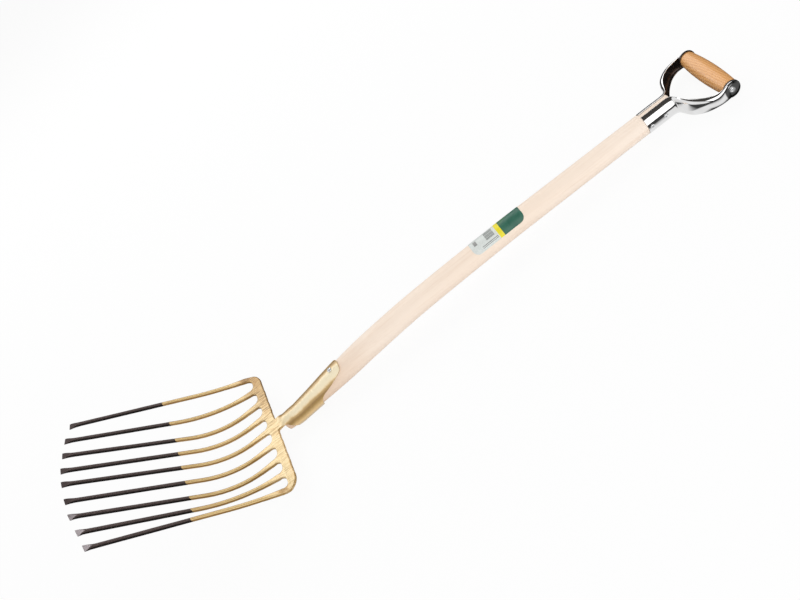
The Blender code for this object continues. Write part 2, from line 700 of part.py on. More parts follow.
def lay_on_back(frame, parts, boundary_x):
    """Pitch the parent until head and handle both touch the plane, then centre it over the origin."""
    points = []
    for part in parts:
        local = frame.matrix_world.inverted() @ part.matrix_world
        points += [tuple(local @ vert.co) for vert in part.data.vertices]
    points = np.array(points)
    head = points[points[:, 0] < boundary_x]
    handle = points[points[:, 0] >= boundary_x]
    pitch = 0.0
    for _ in range(12):
        s, c = math.sin(pitch), math.cos(pitch)
        low_head = head[np.argmin(c * head[:, 2] - s * head[:, 0])]
        low_handle = handle[np.argmin(c * handle[:, 2] - s * handle[:, 0])]
        pitch = math.atan2(low_handle[2] - low_head[2], low_handle[0] - low_head[0])
    s, c = math.sin(pitch), math.cos(pitch)
    x = c * points[:, 0] + s * points[:, 2]
    z = c * points[:, 2] - s * points[:, 0]
    frame.rotation_euler = (0.0, pitch, 0.0)
    frame.location = (-(x.min() + x.max()) / 2, 0.0, -z.min())
    bpy.context.view_layer.update()


def main():
    clear_scene()
    scene = bpy.context.scene
    parts = bpy.data.collections.new("rubble_fork")
    cutters = bpy.data.collections.new("rubble_fork_cutters")
    scene.collection.children.link(parts)
    scene.collection.children.link(cutters)
    frame = bpy.data.objects.new("fork_frame", None)
    parts.objects.link(frame)

    lacquer = finish_material("gold_lacquer", (0.62, 0.45, 0.20), 0.7, 0.38)
    tine_steel = finish_material("tine_steel", (0.055, 0.042, 0.040), 0.6, 0.45)
    ash = finish_material("ash_wood", (0.86, 0.74, 0.60), 0.0, 0.55)
    chrome = finish_material("chrome_plate", (0.80, 0.80, 0.80), 1.0, 0.10)
    zinc = finish_material("bright_zinc", (0.65, 0.66, 0.68), 1.0, 0.25)
    grip_wood = finish_material("lacquered_grip", (0.66, 0.36, 0.14), 0.0, 0.35)
    paper = finish_material("label_paper", (0.10, 0.33, 0.24), 0.0, 0.50)

    made = [build_cross_plate(lacquer, frame, parts)]
    for number, offset in enumerate(tine_offsets(), start=1):
        made.append(build_tine(number, offset, tine_steel, frame, parts))
    made.append(build_neck_socket(lacquer, frame, parts, cutters))
    made.append(build_socket_screw(zinc, frame, parts))
    made.append(build_shaft(ash, frame, parts, cutters))
    made.append(build_yoke_half("yoke_left", 1.0, chrome, frame, parts, cutters))
    made.append(build_yoke_half("yoke_right", -1.0, chrome, frame, parts, cutters))
    for name, reach in zip(("yoke_rivet_lower", "yoke_rivet_upper"), rivet_reach):
        made.append(build_rivet(name, yoke_start_x + reach, zinc, frame, parts))
    made.append(build_grip_rod(zinc, frame, parts))
    made.append(build_grip(grip_wood, frame, parts))
    made.append(build_label(paper, frame, parts))
    bpy.context.view_layer.update()
    lay_on_back(frame, made, boundary_x=0.4)
    print("pieces:", len(made))


main()
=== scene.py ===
import bpy
import bmesh
import numpy as np
from math import atan, copysign, cos, hypot, pi, radians, sin, sqrt, tan
from mathutils import Matrix, Vector


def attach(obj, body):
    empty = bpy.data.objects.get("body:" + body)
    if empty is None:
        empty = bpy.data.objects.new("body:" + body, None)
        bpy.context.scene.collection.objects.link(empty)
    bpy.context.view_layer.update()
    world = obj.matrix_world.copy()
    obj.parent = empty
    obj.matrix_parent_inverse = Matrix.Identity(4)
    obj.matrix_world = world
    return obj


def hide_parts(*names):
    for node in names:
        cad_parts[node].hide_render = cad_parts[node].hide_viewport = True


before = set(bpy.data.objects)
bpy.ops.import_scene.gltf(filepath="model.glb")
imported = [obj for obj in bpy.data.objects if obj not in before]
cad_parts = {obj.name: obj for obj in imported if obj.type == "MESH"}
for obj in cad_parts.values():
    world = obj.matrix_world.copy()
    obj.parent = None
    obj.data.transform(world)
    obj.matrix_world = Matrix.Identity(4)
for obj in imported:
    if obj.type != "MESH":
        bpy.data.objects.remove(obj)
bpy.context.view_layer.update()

# the fork lies on its back, so the axes along the tool are pitched a little against the floor
toolPitch = radians(2.526044)
toolPlace = (-0.32599, 0.0, 0.05771)
toolMatrix = Matrix.Translation(toolPlace) @ Matrix.Rotation(toolPitch, 4, "Y")


def lineAt(value, stops, values):
    return float(np.interp(value, stops, values))


def easedAt(value, stops, values, width):  # the same line with its corners rounded off
    steps = (-1, -0.5, 0, 0.5, 1)
    return float(np.mean([np.interp(value + step * width, stops, values) for step in steps]))


def addObject(name, data):
    made = bpy.data.objects.new(name, data)
    bpy.context.scene.collection.objects.link(made)
    return made


def finishPiece(name, bm, materials, nodes, body="fork", smoothDeg=40):
    bmesh.ops.transform(bm, matrix=toolMatrix, verts=bm.verts)
    bmesh.ops.recalc_face_normals(bm, faces=bm.faces)
    mesh = bpy.data.meshes.new(name)
    bm.to_mesh(mesh)
    bm.free()
    for material in materials:
        mesh.materials.append(material)
    piece = addObject(name, mesh)
    mesh.shade_smooth()
    mesh.set_sharp_from_angle(angle=radians(smoothDeg))
    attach(piece, body)
    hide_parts(*nodes)


def closeHoles(bm):
    made = bmesh.ops.holes_fill(bm, edges=[edge for edge in bm.edges if edge.is_boundary], sides=0)
    for face in made["faces"]:
        face.material_index = 0


def bevelEdges(bm, edges, width, segments):
    bmesh.ops.bevel(bm, geom=edges, offset=width, segments=segments, profile=0.5, material=-1,
                    affect="EDGES")


def bevelSharp(bm, degrees, width, segments):
    bm.normal_update()
    sharp = [edge for edge in bm.edges
             if len(edge.link_faces) == 2 and edge.calc_face_angle() > radians(degrees)]
    bevelEdges(bm, sharp, width, segments)


def loftRings(bm, rings, marks=None):  # a grid rolled round the rings, welded at its seam, its ends closed
    last, count = len(rings) - 1, len(rings[0])
    bmesh.ops.create_grid(bm, x_segments=last, y_segments=count, size=1.0)
    marked = set()
    for vert in bm.verts:
        row, column = round((vert.co.x + 1) / 2 * last), round((vert.co.y + 1) / 2 * count) % count
        vert.co = rings[row][column]
        if marks and marks[row][column]:
            marked.add(vert)
    for face in bm.faces:
        face.material_index = 1 if all(vert in marked for vert in face.verts) else 0
    bmesh.ops.remove_doubles(bm, verts=bm.verts, dist=0.0000001)
    closeHoles(bm)


def addMesh(bm, other):  # moves the other bmesh into this one
    mesh = bpy.data.meshes.new("loose")
    other.to_mesh(mesh)
    other.free()
    bm.from_mesh(mesh)
    bpy.data.meshes.remove(mesh)


def spinInto(bm, profile, steps, matrix):  # profile of (radius, height), turned about its own Z
    turned = bmesh.new()
    verts = [turned.verts.new((radius, 0, height)) for radius, height in profile]
    edges = [turned.edges.new(pair) for pair in zip(verts[:-1], verts[1:])]
    bmesh.ops.spin(turned, geom=verts + edges, cent=(0, 0, 0), axis=(0, 0, 1), dvec=(0, 0, 0),
                   angle=2 * pi, steps=steps, use_merge=True, use_duplicate=False)
    bmesh.ops.remove_doubles(turned, verts=turned.verts, dist=0.00001)
    bmesh.ops.recalc_face_normals(turned, faces=turned.faces)
    bmesh.ops.transform(turned, matrix=matrix, verts=turned.verts)
    addMesh(bm, turned)


def acrossAt(x, y, side=1.0):  # a place for turned shapes whose own Z points out to one side of the tool
    return Matrix.Translation((x, y, 0)) @ Matrix.Rotation(radians(-90 * side), 4, "X")


# shader helpers

def newMaterial(name):
    material = bpy.data.materials.new(name)
    material.use_nodes = True
    tree = material.node_tree
    return material, tree, tree.nodes["Principled BSDF"]


def isSocket(value):
    return isinstance(value, bpy.types.NodeSocket)


def feed(node, inputs):
    for key, value in inputs.items():
        if isSocket(value):
            node.id_data.links.new(value, node.inputs[key])
        else:
            node.inputs[key].default_value = value


def addNode(kind, inputs, **settings):  # in the tree of the sockets that feed it
    node = next(value.id_data for value in inputs.values() if isSocket(value)).nodes.new("ShaderNode" + kind)
    for key, value in settings.items():
        setattr(node, key, value)
    feed(node, inputs)
    return node


def addSource(tree, kind, output):
    return tree.nodes.new("ShaderNode" + kind).outputs[output]


def toolCoords(tree):  # object coordinates turned back to the axes along the tool
    source = addSource(tree, "TexCoord", "Object")
    values = {"Vector": source, "Location": toolPlace, "Rotation": (0, toolPitch, 0)}
    return addNode("Mapping", values, vector_type="TEXTURE").outputs["Vector"]


def facingAt(tree, direction):  # how far the surface turns toward a direction
    values = {0: addSource(tree, "TexCoord", "Normal"), 1: direction}
    node = addNode("VectorMath", values, operation="DOT_PRODUCT")
    return node.outputs["Value"]


def splitAt(vector):
    return addNode("SeparateXYZ", {"Vector": vector}).outputs


def joinAt(**parts):
    return addNode("CombineXYZ", parts).outputs["Vector"]


def noiseAt(vector, scale, detail=3.0, roughness=0.55, distortion=0.0):
    node = addNode("TexNoise", {"Vector": vector, "Scale": scale, "Detail": detail,
                                "Roughness": roughness, "Distortion": distortion})
    return node.outputs["Fac"]


def drawnNoise(vector, scales, detail=3.0, roughness=0.6, distortion=0.0):  # a scale for each axis
    node = addNode("Mapping", {"Vector": vector, "Scale": scales})
    return noiseAt(node.outputs["Vector"], 1, detail, roughness, distortion)


def rampAt(fac, stops):
    node = addNode("ValToRGB", {"Fac": fac})
    while len(node.color_ramp.elements) < len(stops):
        node.color_ramp.elements.new(0.5)
    for element, (position, colour) in zip(node.color_ramp.elements, stops):
        element.position = position
        element.color = (*colour, 1)
    return node.outputs["Color"]


def mapTo(value, low, high, outLow, outHigh):
    node = addNode("MapRange", {"Value": value, "From Min": low, "From Max": high,
                                "To Min": outLow, "To Max": outHigh})
    return node.outputs["Result"]


def mathAt(operation, a, b=0.0, clamp=False):
    node = addNode("Math", {0: a, 1: b}, operation=operation, use_clamp=clamp)
    return node.outputs["Value"]


def plus(a, b):
    return mathAt("ADD", a, b)


def minus(a, b):
    return mathAt("SUBTRACT", a, b)


def times(a, b):
    return mathAt("MULTIPLY", a, b)


def mixColour(fac, a, b, blend="MIX"):
    colours = {key: value if isSocket(value) else (*value, 1) for key, value in ((6, a), (7, b))}
    return addNode("Mix", {0: fac, **colours}, data_type="RGBA", blend_type=blend).outputs[2]


def mixTwo(fac, low, high, colours):
    return mixColour(mapTo(fac, low, high, 0, 1), *colours)


def bumpAt(shader, height, strength, distance):
    node = addNode("Bump", {"Height": height, "Strength": strength, "Distance": distance})
    feed(shader, {"Normal": node.outputs["Normal"]})


# finishes: where four values stand together, what is read goes from the first to the second of them,
# and what is set from the third to the fourth

# the lacquer ramp, read against the front direction, is painted highlight and shade: cream where the surface
# faces it, dark brown on the flanks
gold = {"frontX": (-0.03, -0.012, 0.62, -0.15), "frontY": (0.02, 0.05, -0.36, -0.45),
        "frontZ": (-0.125, -0.03, 0.71, 1), "frontZSocket": (0.022, 0.045, 1, 0.89),
        "highlightNarrowing": (0.02, 0.05, 0.5, 0.675), "cloudScale": 38, "uneven": (0.3, 0.7, -0.02, 0.02),
        "lacquer": ((0.24, (0.63, 0.47, 0.27)), (0.55, (0.80, 0.55, 0.24)), (0.70, (0.60, 0.40, 0.17)),
                    (0.79, (0.43, 0.27, 0.087)), (0.865, (0.38, 0.23, 0.086)), (0.93, (0.60, 0.40, 0.165)),
                    (0.962, (0.90, 0.68, 0.38)), (0.985, (1.0, 0.84, 0.54))),
        "ridgeHighlight": (1.0, 0.88, 0.63), "ridgeHighlightRange": (0.95, 1.0, 0, 1), "ridgeHighlightX": (0.02, 0.05, 0, 1),
        "places": ((0.1, (0.74, 0.63, 0.43)), (0.40, (0.98, 0.90, 0.76)), (0.70, (0.98, 0.90, 0.76)),
                   (0.88, (1.0, 1.0, 1.0))),
        "placesX": (-0.05, 0.05, 0, 1), "metallic": (0.02, 0.05, 0.35, 0.12), "specular": 0.5,
        "roughness": (0.3, 0.7, 0.36, 0.50), "coat": 0.45, "coatRoughness": 0.24}
brushing = {"backX": (0.019, 0.034, 1, 0), "frontX": (-0.03, -0.004, 0, 1), "fine": (60, 900, 300),
            "coarse": (24, 330, 120), "streak": (0.36, 0.235, 0.095), "streaks": (0.96, 1.17, 0, 1),
            "lean": (-0.04, 0.07, 0.40, 0.95),
            "pale": (1.0, 0.90, 0.66), "paleMarks": (0.80, 0.98, 0.45, 0),
            "farSide": (0.62, 0.51, 0.34), "farY": (0.0, 0.125, 0, 1), "onForged": 0.15,
            "hammered": (220, 0.6), "bump": (0.25, 0.0005)}
darkSteel = {"colour": (0.013, 0.009, 0.008), "light": (0.125, 0.092, 0.086), "dipX": -0.147,
             "outerDip": (0.09, 0.1416, 0, 0.008), "ragged": (700, 0.0016), "scale": (130, 800, 800),
             "above": (0.45, 0.12, 0.75), "upper": (0.40, 0.74, 0, 1), "paintedShading": (0.38, 0.62, 0.35, 1.0),
             "metal": 0.3, "specular": 0.12, "rougher": 0.04}


def shadedBrushedLacquer(x, y, paintedShading, brushed, coarse, onPlate):
    # painted highlight and shade, by how far the surface turns from the front direction
    lacquer = rampAt(paintedShading, gold["lacquer"])
    # painted highlight along the crest of the socket, where it faces the front direction most
    ridgeHighlight = times(mapTo(paintedShading, *gold["ridgeHighlightRange"]), mapTo(x, *gold["ridgeHighlightX"]))
    lacquer = mixColour(ridgeHighlight, lacquer, gold["ridgeHighlight"])
    place = rampAt(mapTo(x, *gold["placesX"]), gold["places"])
    lacquer = mixColour(1.0, lacquer, place, "MULTIPLY")
    # brush marks run across the plate and are stronger toward one end of it
    both = plus(brushed, coarse)
    marks = times(mapTo(both, *brushing["streaks"]), onPlate)
    marks = times(marks, mapTo(y, *brushing["lean"]))
    lacquer = mixColour(marks, lacquer, brushing["streak"])
    paleMarks = times(mapTo(both, *brushing["paleMarks"]), onPlate)
    lacquer = mixColour(paleMarks, lacquer, brushing["pale"])
    farShare = times(mapTo(y, *brushing["farY"]), onPlate)
    return mixColour(farShare, lacquer, brushing["farSide"], "MULTIPLY")


def makeForged():
    material, tree, shader = newMaterial("forged_lacquer")
    vector = toolCoords(tree)
    x, y, _ = splitAt(vector)
    # painted highlight and shade: the lacquer is lighter where the surface faces a fixed front direction and
    # darker on the flanks
    frontZ = times(mapTo(x, *gold["frontZ"]), mapTo(x, *gold["frontZSocket"]))
    front = joinAt(X=mapTo(x, *gold["frontX"]), Y=mapTo(x, *gold["frontY"]), Z=frontZ)
    cloudy = noiseAt(vector, gold["cloudScale"], 4, 0.6)
    uneven = mapTo(cloudy, *gold["uneven"])
    highlightNarrowing = mapTo(x, *gold["highlightNarrowing"])  # the painted highlight runs along a narrower strip on the rolled socket
    away = times(minus(1, facingAt(tree, front)), highlightNarrowing)
    paintedShading = plus(minus(1, away), uneven)
    onPlate = times(mapTo(x, *brushing["backX"]), mapTo(x, *brushing["frontX"]))
    brushed = drawnNoise(vector, brushing["fine"], 4, 0.62, 0.4)
    coarse = drawnNoise(vector, brushing["coarse"], 3, 0.6, 0.6)
    lacquer = shadedBrushedLacquer(x, y, paintedShading, brushed, coarse, onPlate)
    # the lower half of each tine stays dark, past the line to which the head was dipped
    outward = mapTo(mathAt("ABSOLUTE", y), *darkSteel["outerDip"])
    raggedScale, raggedWidth = darkSteel["ragged"]
    ragged = times(minus(noiseAt(vector, raggedScale, 2), 0.5), raggedWidth)
    bare = mathAt("LESS_THAN", x, plus(plus(outward, ragged), darkSteel["dipX"]))
    scale = drawnNoise(vector, darkSteel["scale"])
    # painted highlight: the bare steel is lighter where it faces up toward the lamps, broken up by the scale
    upper = mapTo(plus(facingAt(tree, darkSteel["above"]), uneven), *darkSteel["upper"])
    litTopAndScale = mathAt("MULTIPLY", upper, mapTo(scale, *darkSteel["paintedShading"]), True)
    steel = mixColour(litTopAndScale, darkSteel["colour"], darkSteel["light"])
    metal = times(mapTo(bare, 0, 1, 1, darkSteel["metal"]), mapTo(x, *gold["metallic"]))
    rough = plus(mapTo(cloudy, *gold["roughness"]), times(bare, darkSteel["rougher"]))
    specular = mapTo(bare, 0, 1, gold["specular"], darkSteel["specular"])
    feed(shader, {"Base Color": mixColour(bare, lacquer, steel), "Metallic": metal,
                  "Roughness": rough, "Specular IOR Level": specular,
                  "Coat Weight": mapTo(bare, 0, 1, gold["coat"], 0),
                  "Coat Roughness": gold["coatRoughness"]})
    hammeredScale, hammeredShare = brushing["hammered"]
    relief = plus(times(brushed, mapTo(onPlate, 0, 1, brushing["onForged"], 1)),
                  times(noiseAt(vector, hammeredScale), hammeredShare))
    bumpAt(shader, relief, *brushing["bump"])
    return material


groundTip = {"grind": (260, 2600, 900), "fresh": ((0.30, 0.265, 0.275), (0.50, 0.45, 0.465)),
             "stained": ((0.022, 0.013, 0.012), (0.070, 0.047, 0.044)), "stainedY": (-0.085, -0.042, 1, 0),
             "roughness": (0.3, 0.7, 0.32, 0.5), "metallic": 0.5, "specular": 0.25, "bump": (0.3, 0.0003)}


def makeGroundSteel():
    material, tree, shader = newMaterial("ground_tip_steel")
    vector = toolCoords(tree)
    grind = drawnNoise(vector, groundTip["grind"])
    fresh = mixTwo(grind, 0.3, 0.7, groundTip["fresh"])
    stained = mixTwo(grind, 0.3, 0.7, groundTip["stained"])
    stainedShare = mapTo(splitAt(vector)[1], *groundTip["stainedY"])
    feed(shader, {"Base Color": mixColour(stainedShare, stained, fresh),
                  "Roughness": mapTo(grind, *groundTip["roughness"]),
                  "Metallic": groundTip["metallic"], "Specular IOR Level": groundTip["specular"]})
    bumpAt(shader, grind, *groundTip["bump"])
    return material


ashWood = {"wander": (3, 14, 14), "grain": (7, 210, 210), "pores": (45, 1500, 1500),
           "pale": ((0.965, 0.835, 0.72), (0.94, 0.79, 0.66)), "darkerNearSocket": (0.78, 0.55, 0.38),
           "darkerNearSocketX": (0.09, 0.23, 0.8, 0), "darkerNearSocketY": (0.010, -0.006, 0.35, 1),
           "line": (0.78, 0.58, 0.43), "lines": (0.5, 0.75, 0, 0.34),
           "pore": (0.64, 0.46, 0.33), "pored": (0.62, 0.8, 0, 0.30),
           "roughness": (0.3, 0.7, 0.5, 0.64), "specular": 0.35, "bump": (0.12, 0.0006)}


def makeAsh():
    material, tree, shader = newMaterial("ash_shaft")
    vector = toolCoords(tree)
    x, y, _ = splitAt(vector)
    wander = drawnNoise(vector, ashWood["wander"], 2, 0.5)
    grain = drawnNoise(vector, ashWood["grain"], 4, 0.6, 0.25)
    pores = drawnNoise(vector, ashWood["pores"], 2, 0.7)
    wood = mixTwo(wander, 0.35, 0.65, ashWood["pale"])
    darkerNearSocket = times(mapTo(x, *ashWood["darkerNearSocketX"]), mapTo(y, *ashWood["darkerNearSocketY"]))
    wood = mixColour(darkerNearSocket, wood, ashWood["darkerNearSocket"])  # darker and pinker where it leaves the socket, most toward -Y
    wood = mixColour(mapTo(grain, *ashWood["lines"]), wood, ashWood["line"])
    wood = mixColour(mapTo(pores, *ashWood["pored"]), wood, ashWood["pore"])
    feed(shader, {"Base Color": wood, "Roughness": mapTo(grain, *ashWood["roughness"]),
                  "Specular IOR Level": ashWood["specular"]})
    bumpAt(shader, plus(grain, times(pores, 0.5)), *ashWood["bump"])
    return material


# metals without grain: a cloud of scale, detail and roughness leads from one colour to the other
plainMetals = {
    "chrome_yoke": {"cloud": (60, 3, 0.6), "colours": ((0.90, 0.90, 0.905), (0.82, 0.815, 0.81)),
                    "roughness": (0.3, 0.75, 0.03, 0.09), "metallic": 1.0,
                    "relief": (26, 1, 0.4), "bump": (0.12, 0.003)},
    # dark inside of the pressings: partly dull metal, partly painted shade
    "dull_inside_and_painted_shade": {"cloud": (120, 4, 0.65),
                             "colours": ((0.050, 0.040, 0.037), (0.125, 0.100, 0.090)),
                             "roughness": (0.3, 0.7, 0.28, 0.42), "metallic": 0.9,
                             "relief": (120, 4, 0.65), "bump": (0.1, 0.0004)},
    "bright_zinc_fastener": {"cloud": (500, 3, 0.6), "colours": ((0.93, 0.94, 0.95), (0.82, 0.83, 0.84)),
                             "roughness": (0.3, 0.7, 0.26, 0.36), "metallic": 0.75,
                             "relief": (500, 3, 0.6), "bump": (0.04, 0.0001)}}


def makePlainMetal(name):
    metal = plainMetals[name]
    material, tree, shader = newMaterial(name)
    vector = toolCoords(tree)
    cloud = noiseAt(vector, *metal["cloud"])
    feed(shader, {"Base Color": mixTwo(cloud, 0.35, 0.7, metal["colours"]),
                  "Roughness": mapTo(cloud, *metal["roughness"]),
                  "Metallic": metal["metallic"]})
    bumpAt(shader, noiseAt(vector, *metal["relief"]), *metal["bump"])
    return material


gripWoodLook = {"wander": (22, 9, 22), "wanderX": 0.006, "wanderZ": 0.004,
                "centre": (-0.955, 0.0, -0.030), "tiltDeg": (5.0, 0, -9.0),
                "ringScale": 84, "ringDistortion": 0.3, "ringDepth": (0.1, 1.0, 0, 0.6),
                "wood": ((0.86, 0.45, 0.165), (0.66, 0.28, 0.080)), "fibre": (1100, 26, 1100),
                "fibres": (0.45, 0.75, 0, 0.20), "fibreColour": (0.62, 0.26, 0.075),
                "roughness": (0.3, 0.7, 0.40, 0.52), "coat": 0.6, "coatRoughness": 0.16,
                "dentScale": 95, "bump": (0.03, 0.002)}


def makeGripWood():
    look = gripWoodLook
    material, tree, shader = newMaterial("lacquered_grip_wood")
    vector = toolCoords(tree)
    # the year rings run nearly along the grip, so they come out as long loops on its turned face
    wander = drawnNoise(vector, look["wander"], 2, 0.5)
    tilt = [radians(angle) for angle in look["tiltDeg"]]
    centre = addNode("Mapping", {"Vector": vector, "Location": look["centre"],
                                 "Rotation": tilt})
    drift = joinAt(X=mapTo(wander, 0, 1, -look["wanderX"], look["wanderX"]),
                   Z=mapTo(wander, 0, 1, look["wanderZ"], -look["wanderZ"]))
    bent = addNode("VectorMath", {0: centre.outputs["Vector"], 1: drift}, operation="ADD")
    values = {"Vector": bent.outputs["Vector"], "Detail": 0, "Detail Scale": 1.0,
              "Scale": look["ringScale"], "Distortion": look["ringDistortion"]}
    rings = addNode("TexWave", values, wave_type="RINGS", rings_direction="Y")
    fibre = drawnNoise(vector, look["fibre"])
    wood = mixColour(mapTo(rings.outputs["Fac"], *look["ringDepth"]), *look["wood"])
    wood = mixColour(mapTo(fibre, *look["fibres"]), wood, look["fibreColour"])
    feed(shader, {"Base Color": wood, "Roughness": mapTo(fibre, *look["roughness"]),
                  "Coat Weight": look["coat"], "Coat Roughness": look["coatRoughness"]})
    uneven = plus(times(fibre, 0.25), noiseAt(vector, look["dentScale"], 2))
    bumpAt(shader, uneven, *look["bump"])
    return material


forged = makeForged()
groundSteel = makeGroundSteel()
ash = makeAsh()
chrome = makePlainMetal("chrome_yoke")
darkInsideAndShade = makePlainMetal("dull_inside_and_painted_shade")
zinc = makePlainMetal("bright_zinc_fastener")
gripWood = makeGripWood()
print("materials ready")


# forged head: cross plate with root stubs, tines, neck and rolled socket

head = {"count": 9, "pitch": 0.0354, "thick": 0.0055, "topZ": -0.0275, "backX": 0.0165, "corner": 0.026,
        "gapCorner": 0.0100, "edge": 0.0016, "rootWidth": 0.0110, "rootBend": 0.002, "stub": 0.0120,
        "stubShrinkX": -0.0105, "neckHalf": 0.0125, "neckX": 0.0215, "neckTongue": 0.003,
        "neckShrinkX": 0.0205, "neckFillet": 0.0049, "overlap": 0.0015,
        "beaten": ((0.00022, 167, 0.0), (-0.00018, 391, 1.3))}  # depth, waves, phase along the back edge
headOuter = (head["count"] - 1) / 2 * head["pitch"] + head["rootWidth"] / 2

tine = {"width": 0.0075, "depth": 0.0067, "rootStops": (0.0035, 0.0155, 0.0385, 0.1235),
        "pastRoot": (0.0094, 0.0062), "swell": (1.04, 1.03),
        "squareStops": (0.0045, 0.0125, 0.0385, 0.1235), "square": (7.0, 4.2, 2.5, 2.3),
        "inside": ((0.0, 0.002, 0.0035), (0.92, 0.995, 1.0)), "sides": 24, "bendSteps": 24, "runSteps": 15,
        "tipWidth": 0.0138, "tipLength": 0.0200, "tipSquare": 1.6, "tipThin": 0.0020, "tipShort": 0.0006,
        "flareStops": (0, 0.02, 0.06, 0.2, 0.4, 0.6, 0.8, 1.0),
        "flare": (0.96, 0.99, 0.97, 0.76, 0.48, 0.26, 0.09, 0.0),
        "facet": 0.0175, "facetCut": 0.0006, "facetCurve": 1.7, "slantLength": 0.014,
        "slants": (-0.0016, -0.0026, -0.0013, -0.0004, 0.0006, 0.0018, 0.0034, 0.0034, 0.0030),
        "extra": (0, 0, 0, 0, 0, 0, 0.0022, 0, 0.0040), "inset": 0.0012,
        "beaten": ((0.00009, 410, 1.7), (0.00007, 937, 2.9))}
tineForms = [  # from the middle tine outward: root degrees, straight run, bend radius, tip degrees, tip X
    (0.0, 0.022, 0.140, 41.4, -0.2930),
    (0.0, 0.021, 0.144, 40.5, -0.2945),
    (0.0, 0.021, 0.147, 40.8, -0.2905),
    (8.0, 0.003, 0.255, 38.1, -0.2860),
    (24.0, 0.004, 0.600, 32.3, -0.2765)]


def rootRise(x, y):  # straight slope past a soft bend at the gap ends
    reach = min(abs(y) / head["pitch"], len(tineForms) - 1)
    rise = lineAt(reach, range(len(tineForms)), [tan(radians(form[0])) for form in tineForms])
    return rise * (hypot(x, head["rootBend"]) - x) / 2


def plateOutline():
    halfGap = (head["pitch"] - head["rootWidth"]) / 2
    frontX = -head["stub"] - head["overlap"]
    backX, corner, fillet, gapCorner = head["backX"], head["corner"], head["neckFillet"], head["gapCorner"]
    points = []

    def arc(x, y, radius, start, end, steps=10):
        for k in range(steps + 1):
            angle = radians(start + (end - start) * k / steps)
            points.append((x + radius * cos(angle), y + radius * sin(angle)))

    for k in range(head["count"] - 1):
        middle = (k - (head["count"] - 2) / 2) * head["pitch"]
        points.append((frontX, middle - halfGap))
        arc(-gapCorner, middle - halfGap + gapCorner, gapCorner, -90, 0)
        arc(-gapCorner, middle + halfGap - gapCorner, gapCorner, 0, 90)
        points.append((frontX, middle + halfGap))
    points.append((frontX, headOuter))
    arc(backX - corner, headOuter - corner, corner, 90, 0, 18)
    backY = np.linspace(headOuter - corner - 0.003, head["neckHalf"] + fillet + 0.003, 34)
    beaten = [(backX + sum(deep * sin(y * waves + phase) for deep, waves, phase in head["beaten"]), y)
              for y in backY]
    points += beaten
    arc(backX + fillet, head["neckHalf"] + fillet, fillet, 180, 270)
    points.append((head["neckX"] + head["neckTongue"], head["neckHalf"]))
    points.append((head["neckX"] + head["neckTongue"], -head["neckHalf"]))
    arc(backX + fillet, -head["neckHalf"] - fillet, fillet, 90, 180)
    points += [(x, -y) for x, y in beaten[::-1]]
    arc(backX - corner, -headOuter + corner, corner, 0, -90, 18)
    points.append((frontX, -headOuter))
    return points


def buildPlate():
    bm = bmesh.new()
    top = bm.faces.new([bm.verts.new((x, y, head["topZ"])) for x, y in plateOutline()])
    made = bmesh.ops.extrude_face_region(bm, geom=[top], use_keep_orig=True)
    lower = [item for item in made["geom"] if isinstance(item, bmesh.types.BMVert)]
    bmesh.ops.translate(bm, verts=lower, vec=(0, 0, -head["thick"]))
    rims = [edge for edge in bm.edges if abs(edge.verts[0].co.z - edge.verts[1].co.z) < 0.0001]
    bevelEdges(bm, rims, head["edge"], 3)
    for x in (-0.0125, -0.0105, -0.009, -0.006, -0.003, -0.001, 0.001, 0.003, 0.0205, 0.0225):
        everything = bm.verts[:] + bm.edges[:] + bm.faces[:]  # cuts where the plate bends or shrinks
        bmesh.ops.bisect_plane(bm, geom=everything, plane_co=(x, 0, 0), plane_no=(1, 0, 0))
    bmesh.ops.triangulate(bm, faces=bm.faces)
    middleZ = head["topZ"] - head["thick"] / 2
    for vert in bm.verts:  # the ends of the stubs shrink away inside the tines and the neck
        shrink = max(0.0, head["stubShrinkX"] - vert.co.x) * 40
        shrink += max(0.0, vert.co.x - head["neckShrinkX"]) * 30
        axisY = round(vert.co.y / head["pitch"]) * head["pitch"]
        vert.co.y -= (vert.co.y - axisY) * shrink
        vert.co.z -= (vert.co.z - middleZ) * shrink
        vert.co.z += rootRise(vert.co.x, vert.co.y)
    finishPiece("crossPlate", bm, [forged], ["cross_plate"], smoothDeg=50)


def tinePath(form, extra):  # points (x, z, slope) from inside the stub to the tip
    rootDeg, straight, radius, tipDeg, tipX = form
    root, end = radians(rootDeg), radians(tipDeg)
    x = -head["stub"]
    z = head["topZ"] - head["thick"] / 2 + head["stub"] * tan(root)
    points = [(x + inward, z - inward * tan(root), root) for inward in (0.0035, 0.0015, 0.0)]
    points += [(x - straight * part * cos(root), z + straight * part * sin(root), root)
               for part in (0.15, 0.35, 0.6, 0.8, 1.0)]
    startX, startZ, _ = points[-1]
    for k in range(1, tine["bendSteps"] + 1):
        angle = root + (end - root) * k / tine["bendSteps"]
        points.append((startX - radius * (sin(angle) - sin(root)),
                       startZ + radius * (cos(root) - cos(angle)), angle))
    x, z, _ = points[-1]
    run = (x - tipX - tine["tipShort"]) / cos(end) + extra
    stops = list(np.linspace(0, run - tine["tipLength"], tine["runSteps"] + 1)[1:])
    stops += [run - tine["tipLength"] * part
              for part in (0.85, 0.7, 0.58, 0.46, 0.36, 0.27, 0.19, 0.12, 0.06, 0.02, 0)]
    points += [(x - stop * cos(end), z + stop * sin(end), end) for stop in stops]
    return points


